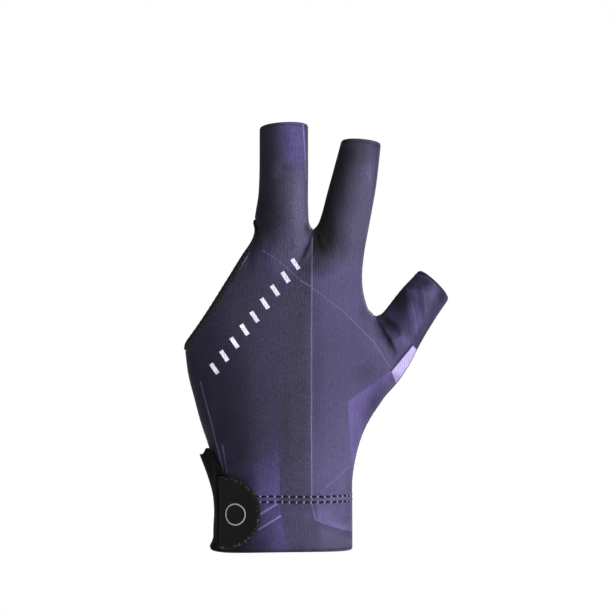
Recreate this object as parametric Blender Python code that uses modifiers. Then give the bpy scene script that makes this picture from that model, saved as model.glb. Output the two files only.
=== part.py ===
"""Three-finger cue-sports glove for a left hand, as it stands when worn: fingers up, back of the hand towards -Y.

Stretch fabric is cut as a back panel and a palm panel, which meet in seams along the outline of the
fingers, thumb and wrist. Thumb, forefinger and middle finger have open-ended sleeves. The ring and little
fingers leave through an edged opening, and a wide strap with a rounded hook tab closes the wrist.

Metres, +Z up. The origin is the middle of the wrist opening, in the plane of the hem.
"""

from collections import namedtuple

import bmesh
import bpy
import numpy as np

MM = 0.001
WRIST_MIDDLE = (1.1, 0.0, 0.0)  # where the origin lies in the tables' own millimetres

# ---- driving sizes, in millimetres -------------------------------------------------------------
WALL = 1.0  # one layer of the knitted fabric
HEM_WALL = 1.9  # the hem is turned up, so it is two layers
HEM_HEIGHT = 23.0
HEM_RISE_ENDS, HEM_RISE_BACK, HEM_RISE_PALM = (0.4, 1.2), 0.9, -0.6  # the worn hem isn't quite level
SEAM_GAP = 0.6  # between the two panels, along their seams
PIECE_GAP = 0.3
EDGING_WIDTH, EDGING_THICK = 2.4, 1.8
STRAP_WALL = 1.4
TAB_WALL = 2.0
FINGER_CELLS = 10  # faces across half of a sleeve
PALM_CELLS = 2 * FINGER_CELLS
ROWS_TO_THUMB, ROWS_TO_CORNER, ROWS_TO_FINGERS = 11, 5, 8
EDGING_CELLS = 60
SLEEVE_ROWS = {"middle": 8, "index": 7, "thumb": 8}
LITTLE_AT_THUMB, LITTLE_AT_WEB = 68.6, 105.2  # heights on the little-finger side, level with the thumb and its web
INDEX_ROOT = 148.8  # where the forefinger's sleeve leaves the palm, on its thumb side
WEB_BOW, THUMB_BOW = 2.2, 1.6  # how far the thumb's rows bow towards its tip
WRIST_HEIGHT = 50.0  # the strap's part of the wrist ends here

# ---- the outline, seen from the back of the hand ------------------------------------------------
Edge = namedtuple("Edge", "z x")  # height above the hem, and distance to the side
LITTLE_SIDE = [
    Edge(0, -29.4), Edge(12, -29.2), Edge(24, -29.2), Edge(36, -30.3), Edge(47.5, -32.7),
    Edge(58, -36.2), Edge(69, -39.2), Edge(80, -42.0), Edge(91, -43.4),
]  # fmt: skip
OPENING_BACK = [  # the fabric's edge; the edging stands out from it
    Edge(91, -43.4), Edge(99.4, -37.1), Edge(111.5, -29.0), Edge(124.3, -21.0),
    Edge(132.8, -15.9), Edge(139.0, -12.2), Edge(144.4, -11.0), Edge(150.0, -12.3),
]  # fmt: skip
THUMB_SIDE = [
    Edge(0, 31.6), Edge(12, 31.6), Edge(24, 31.5), Edge(33, 31.5), Edge(40, 32.4),
    Edge(46.5, 33.8), Edge(54, 36.3), Edge(60.3, 39.5), Edge(69.8, 45.9),
]  # fmt: skip
INDEX_OUTER = [
    Edge(105.75, 41.85), Edge(108.9, 38.8), Edge(112.5, 37.4), Edge(117, 36.3), Edge(124, 35.8),
    Edge(133.5, 36.7), Edge(148.8, 39.5), Edge(164.5, 42.3), Edge(184, 44.6),
]  # fmt: skip
INDEX_INNER = [
    Edge(144.4, 13.95), Edge(147, 16.1), Edge(150.5, 17.5), Edge(161, 20.3), Edge(172, 23.3),
    Edge(185.4, 26.9),
]  # fmt: skip
MIDDLE_INNER = [Edge(144.4, 13.95), Edge(147.4, 12.3), Edge(153, 11.75), Edge(170, 11.7), Edge(192.6, 11.7)]
MIDDLE_OUTER = [Edge(150.0, -12.3), Edge(155.0, -11.5), Edge(160, -10.7), Edge(166, -10.3), Edge(191.3, -10.1)]
# The thumb's two sides run slantwise, so their rows go by the share of the sleeve's length.
Rim = namedtuple("Rim", "share low_x low_z high_x high_z")
THUMB_RIMS = [
    Rim(0.00, 45.9, 69.8, 41.85, 105.75), Rim(0.17, 52.0, 76.6, 45.2, 107.3),
    Rim(0.33, 57.0, 84.0, 48.7, 111.4), Rim(0.50, 61.4, 92.4, 51.9, 115.5),
    Rim(0.67, 65.9, 100.1, 55.3, 119.5), Rim(0.83, 70.6, 107.4, 58.7, 123.0),
    Rim(1.00, 75.2, 113.9, 62.1, 126.7),
]  # fmt: skip

# ---- how full the worn glove is -----------------------------------------------------------------
Fullness = namedtuple("Fullness", "z reach back palm")
FULLNESS = [
    Fullness(0, 17.0, 1.00, 1.00), Fullness(30, 16.0, 0.97, 1.00), Fullness(52, 13.5, 0.88, 1.00),
    Fullness(82, 12.0, 0.84, 1.02), Fullness(118, 11.5, 0.82, 1.00), Fullness(150, 14.0, 0.93, 0.96),
    Fullness(195, 14.0, 0.95, 0.95),
]  # fmt: skip
Pad = namedtuple("Pad", "x z radius rise")  # the fleshy pads of the palm side
PADS = [Pad(24, 60, 21, 5.5), Pad(-24, 52, 19, 3.0), Pad(-1, 86, 17, -2.2)]
Fold = namedtuple("Fold", "x1 z1 x2 z2 width rise")  # creases of the back, where the fabric is drawn between two fingers
FOLDS = [
    Fold(15.0, 143.0, 17.5, 134.0, 2.6, -1.1), Fold(20.5, 142.0, 18.5, 134.5, 2.4, -0.8),
    Fold(12.5, 142.0, 7.5, 131.0, 2.8, -0.7), Fold(9.8, 140.5, 4.0, 133.5, 2.4, 0.5),
    Fold(43.0, 104.0, 46.5, 97.5, 3.0, -1.2), Fold(46.5, 97.5, 50.5, 87.5, 3.4, -1.0),
    Fold(45.5, 104.5, 53.0, 98.5, 2.6, -0.8),
]  # fmt: skip
Mouth = namedtuple("Mouth", "below half")  # half the width of the edged opening, by how far a point is below its top
MOUTH = [Mouth(0, 0), Mouth(5.8, 4.9), Mouth(11.6, 7.9), Mouth(17.4, 10.3), Mouth(23.2, 12.1), Mouth(29, 13.3)]
LEAN_FROM, LEAN_TO, LEAN = 110.0, 193.0, 6.6  # the fingers bend a little towards the palm
THUMB_LEAN, THUMB_LEAN_POWER = 7.0, 1.6


def smooth(table, at, key="z", value="x"):
    """A smooth curve through the table's rows (a cubic between each two, with no overshoot)."""
    k = np.array([getattr(r, key) for r in table], float)
    v = np.array([getattr(r, value) for r in table], float)
    rise = np.diff(v) / np.diff(k)
    slope = np.concatenate([[rise[0]], (rise[1:] + rise[:-1]) / 2, [rise[-1]]])
    at = np.clip(np.asarray(at, float), k[0], k[-1])
    i = np.clip(np.searchsorted(k, at, side="right") - 1, 0, len(k) - 2)
    h = k[i + 1] - k[i]
    t = (at - k[i]) / h
    return (
        (2 * t**3 - 3 * t**2 + 1) * v[i] + (t**3 - 2 * t**2 + t) * h * slope[i]
        + (3 * t**2 - 2 * t**3) * v[i + 1] + (t**3 - t**2) * h * slope[i + 1]
    )  # fmt: skip


def ease(t):
    t = np.clip(t, 0, 1)
    return t * t * (3 - 2 * t)


def round_shares(cells):
    """Shares of a width whose points are evenly spaced round a half circle."""
    return (1 - np.cos(np.pi * np.arange(cells + 1) / cells)) / 2


class Layout:
    """The panel's quads laid out in the plane of the hand: .xz points, .quads, and which points lie on which edge."""

    def __init__(self, opening):
        self.xz, self.index, self.quads = [], {}, []
        self.outline, self.opening = set(), []
        self.thumb_share = {}
        corner = ROWS_TO_THUMB + ROWS_TO_CORNER
        web = ROWS_TO_THUMB + FINGER_CELLS
        top = web + ROWS_TO_FINGERS
        left_z = self.heights(
            (0, LITTLE_AT_THUMB, ROWS_TO_THUMB), (LITTLE_AT_THUMB, LITTLE_SIDE[-1].z, ROWS_TO_CORNER),
            (LITTLE_SIDE[-1].z, LITTLE_AT_WEB, web - corner), (LITTLE_AT_WEB, opening[-1].z, ROWS_TO_FINGERS),
        )  # fmt: skip
        low, high = THUMB_SIDE[-1], INDEX_OUTER[0]
        right_z = self.heights(
            (0, low.z, ROWS_TO_THUMB), (low.z, high.z, FINGER_CELLS), (high.z, INDEX_ROOT, ROWS_TO_FINGERS),
        )  # fmt: skip
        one = round_shares(PALM_CELLS)
        fingers = round_shares(FINGER_CELLS)
        web_x, web_z = INDEX_INNER[0].x, INDEX_INNER[0].z
        for row in range(top + 1):
            zl, zr = left_z[row], right_z[row]
            xl = smooth(LITTLE_SIDE, zl) if row <= corner else smooth(opening, zl)
            if row <= ROWS_TO_THUMB:
                xr = smooth(THUMB_SIDE, zr)
            elif row <= web:
                t = (row - ROWS_TO_THUMB) / FINGER_CELLS
                xr = low.x + (high.x - low.x) * t + WEB_BOW * np.sin(np.pi * t)
            else:
                xr = smooth(INDEX_OUTER, zr)
            to_top = np.clip((row - web) / (top - web), 0, 1)
            split = (web_x - xl) / (xr - xl)
            two = np.concatenate([fingers * split, split + fingers[1:] * (1 - split)])
            share = one + (two - one) * ease(to_top)
            z = zl + (zr - zl) * share
            fall = np.interp(share, [0, split, 1], [0, 1, 0]) * (zl + (zr - zl) * split - web_z)
            z = z - fall * to_top**3
            x = xl + (xr - xl) * share
            for c in range(PALM_CELLS + 1):
                self.add(("palm", row, c), x[c], z[c])
        self.grid("palm", top, PALM_CELLS)
        for c in range(FINGER_CELLS + 1):
            self.index["middle", 0, c] = self.index["palm", top, c]
            self.index["index", 0, c] = self.index["palm", top, FINGER_CELLS + c]
            self.index["thumb", 0, c] = self.index["palm", ROWS_TO_THUMB + c, PALM_CELLS]
        self.sleeve("middle", MIDDLE_OUTER, MIDDLE_INNER, left_z[-1], web_z, fingers)
        self.sleeve("index", INDEX_INNER, INDEX_OUTER, web_z, right_z[-1], fingers)
        self.thumb(fingers)
        p, i = self.index, self.outline
        i.update(p["palm", r, 0] for r in range(corner + 1))
        i.update(p["palm", r, PALM_CELLS] for r in range(ROWS_TO_THUMB + 1))
        i.update(p["palm", r, PALM_CELLS] for r in range(web, top + 1))
        for name, rows in SLEEVE_ROWS.items():
            i.update(p[name, r, c] for r in range(rows + 1) for c in (0, FINGER_CELLS))
        self.opening = [p["palm", r, 0] for r in range(corner, top + 1)]
        self.xz = np.array(self.xz)
        self.quads = np.array(self.quads)

    @staticmethod
    def heights(*stretches):
        """The rows' heights along one side, each stretch given as (from, to, rows)."""
        return np.concatenate([[stretches[0][0]], *(np.linspace(a, b, rows + 1)[1:] for a, b, rows in stretches)])

    def add(self, key, x, z):
        self.index[key] = len(self.xz)
        self.xz.append((float(x), float(z)))

    def grid(self, name, rows, cells, flip=False):
        for r in range(rows):
            for c in range(cells):
                q = [self.index[name, r + a, c + b] for a, b in ((0, 0), (0, 1), (1, 1), (1, 0))]
                self.quads.append(q[::-1] if flip else q)

    def sleeve(self, name, left, right, left_from, right_from, shares):
        rows = SLEEVE_ROWS[name]
        for r in range(1, rows + 1):
            t = r / rows
            zl = left_from + (left[-1].z - left_from) * t
            zr = right_from + (right[-1].z - right_from) * t
            xl, xr = smooth(left, zl), smooth(right, zr)
            for c, s in enumerate(shares):
                self.add((name, r, c), xl + (xr - xl) * s, zl + (zr - zl) * s)
        self.grid(name, rows, FINGER_CELLS)

    def thumb(self, shares):
        rows = SLEEVE_ROWS["thumb"]
        even = np.arange(FINGER_CELLS + 1) / FINGER_CELLS
        for r in range(1, rows + 1):
            t = r / rows
            lx, lz, hx, hz = (smooth(THUMB_RIMS, t, "share", k) for k in Rim._fields[1:])
            for c in range(FINGER_CELLS + 1):
                s = even[c] + (shares[c] - even[c]) * ease(t * 2.5)
                bow = THUMB_BOW * np.sin(np.pi * s) * (1 - t) ** 2
                self.add(("thumb", r, c), lx + (hx - lx) * s + bow, lz + (hz - lz) * s)
                self.thumb_share[self.index["thumb", r, c]] = t
        self.grid("thumb", rows, FINGER_CELLS, flip=True)


def mouth(layout):
    """The squared half width of the edged opening at each of its points near its top."""
    top = layout.xz[layout.opening[-1], 1]
    below = {i: top - layout.xz[i, 1] for i in layout.opening}
    return {i: float(smooth(MOUTH, b, "below", "half")) ** 2 for i, b in below.items() if b <= MOUTH[-1].below + 0.01}


def inflate(layout, reach):
    """Half of the worn glove's thickness at each point of the layout.

    A closed skin blown up over its own outline: the square of the height solves a screened membrane
    equation, which gives an ellipse across a sleeve and a flat-topped section across the palm, with
    `reach` setting how thick a wide part gets. It is nought on the outline and free at the open edges."""
    n = len(layout.xz)
    stiff = np.zeros((n, n))
    area = np.zeros(n)
    p = layout.xz
    for tri in np.concatenate([layout.quads[:, [0, 1, 2]], layout.quads[:, [0, 2, 3]],
                               layout.quads[:, [0, 1, 3]], layout.quads[:, [1, 2, 3]]]):  # fmt: skip
        a, b, c = p[tri]
        twice = abs((b[0] - a[0]) * (c[1] - a[1]) - (b[1] - a[1]) * (c[0] - a[0]))
        if twice < 1e-9:
            continue
        side = np.array([c - b, a - c, b - a])
        stiff[np.ix_(tri, tri)] += side @ side.T / (2 * twice) / 2
        area[tri] += twice / 6 / 2
    left = stiff + np.diag(area / reach**2)
    right = 2 * area
    held = {i: 0.0 for i in layout.outline}
    held.update(mouth(layout))
    fixed = np.array(sorted(held))
    value = np.array([held[i] for i in fixed])
    free = np.setdiff1d(np.arange(n), fixed)
    u = np.zeros(n)
    u[fixed] = value
    u[free] = np.linalg.solve(left[np.ix_(free, free)], right[free] - left[np.ix_(free, fixed)] @ value)
    return np.sqrt(np.maximum(u, 0))


def lean(layout):
    """How far the middle of the glove lies towards the palm, and how steeply its fingers lean, as a slope along (x, z)."""
    x, z = layout.xz.T
    t = np.clip((z - LEAN_FROM) / (LEAN_TO - LEAN_FROM), 0, 1.2)
    share = np.zeros(len(z))
    for i, s in layout.thumb_share.items():
        share[i] = s
    on_thumb = np.zeros(len(z), bool)
    on_thumb[list(layout.thumb_share)] = True
    t = np.where(on_thumb | ((x > 40) & (z < 112)), 0, t)
    middle = LEAN * t**2 + THUMB_LEAN * share**THUMB_LEAN_POWER
    slope_z = 2 * LEAN * t / (LEAN_TO - LEAN_FROM)
    slope_thumb = THUMB_LEAN * THUMB_LEAN_POWER * share ** (THUMB_LEAN_POWER - 1) / 48
    along = np.stack([slope_thumb * 0.61, slope_z + slope_thumb * 0.79], 1)
    return middle, along


def away_from(fold, x, z):
    """How far each point is from the fold's line."""
    dx, dz = fold.x2 - fold.x1, fold.z2 - fold.z1
    t = np.clip(((x - fold.x1) * dx + (z - fold.z1) * dz) / (dx * dx + dz * dz), 0, 1)
    return np.hypot(x - fold.x1 - t * dx, z - fold.z1 - t * dz)


def surface(layout, half, side):
    """The outer face of a panel, in millimetres. side is -1 for the back of the hand and 1 for the palm."""
    x, z = layout.xz.T
    full = smooth(FULLNESS, z, value="back" if side < 0 else "palm")
    height = half * full
    if side > 0:
        most = half.max()
        for pad in PADS:
            away = ((x - pad.x) ** 2 + (z - pad.z) ** 2) / pad.radius**2
            height = height + pad.rise * np.exp(-away) * np.clip(half / most * 1.25, 0, 1)
    else:
        for fold in FOLDS:
            height = height + fold.rise * np.exp(-((away_from(fold, x, z) / fold.width) ** 2)) * np.clip(half / 6, 0, 1)
    middle, along = lean(layout)
    y = middle + side * (height + SEAM_GAP / 2)
    moved = layout.xz - side * height[:, None] * along
    near_hem = np.clip(1 - z / HEM_HEIGHT, 0, 1)
    across = np.clip((x - LITTLE_SIDE[0].x) / (THUMB_SIDE[0].x - LITTLE_SIDE[0].x), 0, 1)
    sag = HEM_RISE_BACK if side < 0 else HEM_RISE_PALM
    rise = HEM_RISE_ENDS[0] + (HEM_RISE_ENDS[1] - HEM_RISE_ENDS[0]) * across + sag * 4 * across * (1 - across)
    moved[:, 1] += near_hem * rise
    return np.stack([moved[:, 0], y, moved[:, 1]], 1)


# ---- solids --------------------------------------------------------------------------------------
def material(name, colour, roughness, metallic=0.0):
    m = bpy.data.materials.new(name)
    m.use_nodes = True
    shader = m.node_tree.nodes["Principled BSDF"]
    shader.inputs["Base Color"].default_value = (*colour, 1)
    shader.inputs["Roughness"].default_value = roughness
    shader.inputs["Metallic"].default_value = metallic
    return m


def new_object(name, points, faces, look, collection):
    mesh = bpy.data.meshes.new(name)
    points = (np.asarray(points) - WRIST_MIDDLE) * MM
    mesh.from_pydata([tuple(p) for p in points], [], [tuple(int(i) for i in f) for f in faces])
    mesh.validate()
    obj = bpy.data.objects.new(name, mesh)
    collection.objects.link(obj)
    mesh.materials.append(look)
    mesh.shade_smooth()
    return obj


def shell(obj, wall):
    """Gives an open outer face its wall, inwards."""
    solid = obj.modifiers.new("wall", "SOLIDIFY")
    solid.thickness = wall * MM
    solid.offset = -1
    solid.use_even_offset = False
    solid.use_quality_normals = True
    solid.use_rim = True


def corner_normals(points, faces):
    a, b, c, d = (points[faces[:, k]] for k in range(4))
    each = np.cross(c - a, d - b)
    total = np.zeros_like(points)
    for k in range(4):
        np.add.at(total, faces[:, k], each)
    return total / np.linalg.norm(total, axis=1)[:, None]


def inner_face(layout, points, faces, wall, side):
    """The outer face moved inwards by the wall, kept on its own side of the seam between the panels."""
    inner = points - corner_normals(points, faces) * wall[:, None]
    middle, along = lean(layout)
    moved = inner[:, [0, 2]] - layout.xz
    seam = middle + (moved * along).sum(1)
    inner[:, 1] = seam + side * np.maximum(side * (inner[:, 1] - seam), SEAM_GAP / 2)
    return inner


def open_edges(faces):
    """The edges that only one face has, in the order that face goes round."""
    ends = np.concatenate([faces[:, [k, (k + 1) % 4]] for k in range(4)])
    seen = {tuple(e) for e in ends}
    return [e for e in seen if e[::-1] not in seen]


def panel(name, layout, half, side, look, collection):
    points = surface(layout, half, side)
    faces = layout.quads if side < 0 else layout.quads[:, ::-1]
    wall = HEM_WALL + (WALL - HEM_WALL) * ease((layout.xz[:, 1] - HEM_HEIGHT) / 6.5 + 0.5)
    inner = inner_face(layout, points, faces, wall, side)
    n = len(points)
    rim = [(b, a, a + n, b + n) for a, b in open_edges(faces)]
    new_object(name, np.concatenate([points, inner]), [*faces, *(faces[:, ::-1] + n), *rim], look, collection)
    return points


def round_trip(line):
    """The distance along a closed line at each of its points, and at its start again."""
    step = np.linalg.norm(np.diff(np.concatenate([line, line[:1]]), axis=0), axis=1)
    return np.concatenate([[0], np.cumsum(step)])


def rounded_loop(line, passes):
    """A closed line with its corners rounded."""
    for _ in range(passes):
        line = (np.roll(line, 1, 0) + 2 * line + np.roll(line, -1, 0)) / 4
    return line


def edging(back, palm, back_layout, palm_layout, look, collection):
    """The elastic edging round the opening for the ring and little fingers: a flat loop outside the fabric's edge."""
    lines, outs = [], []
    for points, layout, turn in ((back, back_layout, 1), (palm, palm_layout, -1)):
        line = points[layout.opening]
        facing = corner_normals(points, layout.quads[:, ::turn])[layout.opening]
        out = np.cross(facing, np.gradient(line, axis=0))
        outs.append((out / np.linalg.norm(out, axis=1)[:, None])[::turn] * turn)
        lines.append(line[::turn])
    loop, out = np.concatenate(lines), np.concatenate(outs)
    if ((out[3] * (loop[3] - back[back_layout.opening[3] + 1])).sum()) < 0:
        out = -out
    length = round_trip(loop)
    want = np.linspace(0, length[-1], EDGING_CELLS + 1)[:-1]
    even = [np.stack([np.interp(want, length, np.append(v[:, k], v[0, k])) for k in range(3)], 1) for v in (loop, out)]
    outward = rounded_loop(even[1], 4)
    outward /= np.linalg.norm(outward, axis=1)[:, None]
    centre = rounded_loop(even[0] + outward * (EDGING_WIDTH / 2 + PIECE_GAP), 1)
    ahead = np.roll(centre, -1, 0) - np.roll(centre, 1, 0)
    ahead /= np.linalg.norm(ahead, axis=1)[:, None]
    outward -= (outward * ahead).sum(1)[:, None] * ahead
    out_even = outward / np.linalg.norm(outward, axis=1)[:, None]
    across = np.cross(ahead, out_even)
    angle = 2 * np.pi * (np.arange(6) + 0.5) / 6
    w = np.sign(np.cos(angle)) * np.abs(np.cos(angle)) ** 0.7 * EDGING_WIDTH / 2
    t = np.sign(np.sin(angle)) * np.abs(np.sin(angle)) ** 0.7 * EDGING_THICK / 2
    rings = centre[:, None, :] + out_even[:, None, :] * w[None, :, None] + across[:, None, :] * t[None, :, None]
    n, m = len(centre), len(angle)
    faces = [
        (r * m + k, ((r + 1) % n) * m + k, ((r + 1) % n) * m + (k + 1) % m, r * m + (k + 1) % m)
        for r in range(n) for k in range(m)
    ]  # fmt: skip
    obj = new_object("opening_edging", rings.reshape(-1, 3), faces, look, collection)
    face_out(obj)
    return obj


def face_out(obj):
    bm = bmesh.new()
    bm.from_mesh(obj.data)
    bmesh.ops.recalc_face_normals(bm, faces=bm.faces)
    bm.to_mesh(obj.data)
    bm.free()


class Wrist:
    """The worn wrist's outside, as a line round it at any height: s = 0 at the little-finger side, + over the back."""

    def __init__(self, layout, back, palm):
        rows = range(int(ROWS_TO_THUMB * WRIST_HEIGHT / LITTLE_AT_THUMB) + 1)
        ring = []
        for r in rows:
            ids = [layout.index["palm", r, c] for c in range(PALM_CELLS + 1)]
            ring.append(np.concatenate([palm[ids[::-1]], back[ids[1:]]]))
        self.z = np.array([np.mean(line[:, 2]) for line in ring])
        self.ring = np.array(ring)

    def at(self, z, s):
        """(point on the outside, outward direction) at height z and distance s round from the side."""
        k = np.clip(np.interp(z, self.z, np.arange(len(self.z))), 0, len(self.z) - 1.001)
        i = int(k)
        line = self.ring[i] + (self.ring[i + 1] - self.ring[i]) * (k - i)
        fine = np.stack([np.interp(np.linspace(0, 1, 257), np.linspace(0, 1, len(line)), line[:, q]) for q in range(2)], 1)
        for _ in range(24):
            fine[1:-1] = (fine[:-2] + 2 * fine[1:-1] + fine[2:]) / 4
        length = np.concatenate([[0], np.cumsum(np.linalg.norm(np.diff(fine, axis=0), axis=1))])
        length -= np.interp(np.argmin(fine[:, 0]), np.arange(257), length)
        point = np.array([np.interp(s, length, fine[:, q]) for q in range(2)])
        tangent = np.array([np.interp(s + 1.5, length, fine[:, q]) - np.interp(s - 1.5, length, fine[:, q]) for q in range(2)])
        tangent /= np.linalg.norm(tangent)
        normal = np.array([tangent[1], -tangent[0]])
        if normal[0] * (point[0] - 1) + normal[1] * point[1] < 0:
            normal = -normal
        return np.array([point[0], point[1], z]), np.array([normal[0], normal[1], 0])


# The strap, round the wrist: s is the distance from the little-finger side, low and high are its two edges, and
# stand is how far its upper edge stands off the glove there.
Band = namedtuple("Band", "s low high stand")
STRAP = [
    Band(-34, 2.0, 41.0, 0.0), Band(-26, 2.0, 42.5, 0.4), Band(-18, 2.1, 43.6, 1.2),
    Band(-10, 2.3, 43.8, 2.3), Band(-4, 2.4, 43.9, 3.3), Band(0, 2.3, 44.1, 3.8), Band(2.5, 1.8, 44.3, 2.7),
    Band(4, 1.4, 45.8, 1.5), Band(5.2, 1.1, 47.3, 0.9), Band(6.6, 1.0, 45.9, 0.7), Band(9, 0.9, 41.4, 0.5),
]  # fmt: skip
TAB_FROM, TAB_LENGTH, TAB_LOW, TAB_HIGH = 9.4, 19.8, 2.9, 34.7
STRAP_OFF = 0.45  # clearance under the strap where it lies on the glove
STRAP_FLARE = 1.9  # how far its lower edge turns outwards at the side


def band_at(s):
    """The strap's low and high edges and its stand, at a distance round the wrist."""
    return (float(smooth(STRAP, s, "s", k)) for k in ("low", "high", "stand"))


def strap(wrist, look, collection):
    rows, points = 9, []
    s_all = np.linspace(STRAP[0].s, STRAP[-1].s, 19)
    for s in s_all:
        low, high, stand = band_at(s)
        for r in range(rows):
            z = low + (high - low) * r / (rows - 1)
            off = STRAP_OFF + STRAP_WALL + stand * ease((z - 24) / 21) + STRAP_FLARE * ease((7 - z) / 6) * ease((s + 22) / 16) * ease((8 - s) / 6)
            p, n = wrist.at(z, s)
            points.append(p + n * off)
    faces = [
        (c * rows + r, (c + 1) * rows + r, (c + 1) * rows + r + 1, c * rows + r + 1)
        for c in range(len(s_all) - 1) for r in range(rows - 1)
    ]  # fmt: skip
    obj = new_object("wrist_strap", points, faces, look, collection)
    outward(obj)
    shell(obj, STRAP_WALL)
    return obj


def tab(wrist, look, collection):
    """The rounded hook tab: straight where it is sewn to the strap, and nearly a half ellipse at its free end."""
    rows, columns, points = 8, 11, []
    mid, half = (TAB_LOW + TAB_HIGH) / 2, (TAB_HIGH - TAB_LOW) / 2
    for c in range(columns):
        t = np.sin(np.pi / 2 * c / (columns - 1) * 0.985)
        reach = (1 - max(0.0, (t - 0.12) / 0.88) ** 2.35) ** (1 / 2.1)
        for r in range(rows + 1):
            z = mid + half * reach * (2 * r / rows - 1)
            s = TAB_FROM + TAB_LENGTH * t
            p, n = wrist.at(z, s)
            points.append(p + n * (STRAP_OFF + TAB_WALL + 0.1))
    faces = [
        (c * (rows + 1) + r, (c + 1) * (rows + 1) + r, (c + 1) * (rows + 1) + r + 1, c * (rows + 1) + r + 1)
        for c in range(columns - 1) for r in range(rows)
    ]  # fmt: skip
    obj = new_object("hook_tab", points, faces, look, collection)
    outward(obj)
    shell(obj, TAB_WALL)
    return obj


def outward(obj):
    """Turns an open face's normals away from the middle of the wrist."""
    p = sum((f.center.x * f.normal.x + f.center.y * f.normal.y) * f.area for f in obj.data.polygons)
    if p < 0:
        obj.data.flip_normals()


def main():
    for obj in list(bpy.data.objects):
        bpy.data.objects.remove(obj)
    parts = bpy.data.collections.new("cue_glove")
    bpy.context.scene.collection.children.link(parts)

    printed = material("printed_fabric", (0.10, 0.085, 0.17), 0.72)
    dark = material("palm_fabric", (0.06, 0.055, 0.09), 0.75)
    elastic = material("black_elastic", (0.012, 0.012, 0.013), 0.8)
    brushed = material("strap_fabric", (0.012, 0.012, 0.013), 0.9)
    hook = material("hook_fabric", (0.010, 0.010, 0.010), 0.92)

    back_layout = Layout(OPENING_BACK)
    opening_palm = [
        Edge(e.z - 2.2 * ease((e.z - 91) / 12) * ease((147.9 - e.z) / 12), e.x + 1.6 * ease((e.z - 91) / 12) * ease((147.9 - e.z) / 12))
        for e in OPENING_BACK
    ]
    palm_layout = Layout(opening_palm)
    reach = smooth(FULLNESS, back_layout.xz[:, 1], value="reach")
    half = inflate(back_layout, reach)
    back = panel("back_panel", back_layout, half, -1, printed, parts)
    palm = panel("palm_panel", palm_layout, half, 1, dark, parts)
    edging(back, palm, back_layout, palm_layout, elastic, parts)
    wrist = Wrist(back_layout, back, palm)
    strap(wrist, brushed, parts)
    tab(wrist, hook, parts)


main()
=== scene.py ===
"""The looks of a worn three-finger billiard glove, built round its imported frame.

Row frame, in metres: +Z to the fingertips, +X to the thumb, and the back of the hand faces -Y. The tables below are
in millimetres and are the CAD model's own, laid out more finely here.
"""

from collections import namedtuple

import bmesh
import bpy
import numpy as np
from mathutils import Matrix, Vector


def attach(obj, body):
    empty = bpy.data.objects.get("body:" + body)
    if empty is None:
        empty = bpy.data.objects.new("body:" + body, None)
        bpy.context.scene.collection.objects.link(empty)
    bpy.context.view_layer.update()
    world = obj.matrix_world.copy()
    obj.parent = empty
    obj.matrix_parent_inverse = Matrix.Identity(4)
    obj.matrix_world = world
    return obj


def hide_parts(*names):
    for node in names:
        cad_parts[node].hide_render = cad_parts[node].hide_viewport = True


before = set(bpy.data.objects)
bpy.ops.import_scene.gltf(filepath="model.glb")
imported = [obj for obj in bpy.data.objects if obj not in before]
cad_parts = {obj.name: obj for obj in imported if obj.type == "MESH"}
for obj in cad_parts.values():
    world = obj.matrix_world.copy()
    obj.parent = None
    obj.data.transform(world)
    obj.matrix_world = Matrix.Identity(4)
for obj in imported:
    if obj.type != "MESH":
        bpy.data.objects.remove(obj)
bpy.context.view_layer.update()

MM = 0.001
WRIST_MIDDLE = (1.1, 0.0, 0.0)  # where the origin lies in the tables' own millimetres
RNG = np.random.default_rng(7)

# ---- driving sizes, in millimetres -------------------------------------------------------------
WALL = 1.0
HEM_WALL = 1.9
HEM_HEIGHT = 23.0
HEM_RISE_ENDS, HEM_RISE_BACK, HEM_RISE_PALM = (0.4, 1.2), 0.9, -0.6
SEAM_GAP = 0.24
PIECE_GAP = 0.1
EDGING_WIDTH, EDGING_THICK = 2.4, 1.8
STRAP_WALL = 1.4
TAB_WALL = 1.7
FINGER_CELLS = 24
PALM_CELLS = 2 * FINGER_CELLS
ROWS_TO_THUMB, ROWS_TO_CORNER, ROWS_TO_FINGERS = 40, 13, 26
EDGING_CELLS = 300
SLEEVE_ROWS = {"middle": 26, "index": 24, "thumb": 28}
LITTLE_AT_THUMB, LITTLE_AT_WEB = 68.6, 105.2
INDEX_ROOT = 148.8
WEB_BOW, THUMB_BOW = 2.2, 1.6
WRIST_HEIGHT = 50.0

# ---- the outline, seen from the back of the hand ------------------------------------------------
Edge = namedtuple("Edge", "z x")  # height above the hem, and distance to the side
LITTLE_SIDE = [
    Edge(0, -29.4), Edge(12, -29.2), Edge(24, -29.2), Edge(36, -30.3), Edge(47.5, -32.7),
    Edge(58, -36.2), Edge(69, -39.2), Edge(80, -42.0), Edge(91, -43.4),
]  # fmt: skip
OPENING_BACK = [  # the fabric's edge; the edging stands out from it
    Edge(91, -43.4), Edge(99.4, -37.1), Edge(111.5, -29.0), Edge(124.3, -21.0),
    Edge(132.8, -15.9), Edge(139.0, -12.2), Edge(144.4, -11.0), Edge(150.0, -12.3),
]  # fmt: skip
THUMB_SIDE = [
    Edge(0, 31.6), Edge(12, 31.6), Edge(24, 31.5), Edge(33, 31.5), Edge(40, 32.4),
    Edge(46.5, 33.8), Edge(54, 36.3), Edge(60.3, 39.5), Edge(69.8, 45.9),
]  # fmt: skip
INDEX_OUTER = [
    Edge(105.75, 41.85), Edge(108.9, 38.8), Edge(112.5, 37.4), Edge(117, 36.3), Edge(124, 35.8),
    Edge(133.5, 36.7), Edge(148.8, 39.5), Edge(164.5, 42.3), Edge(184, 44.6),
]  # fmt: skip
INDEX_INNER = [
    Edge(144.4, 13.95), Edge(147, 16.1), Edge(150.5, 17.5), Edge(161, 20.3), Edge(172, 23.3),
    Edge(185.4, 26.9),
]  # fmt: skip
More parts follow.
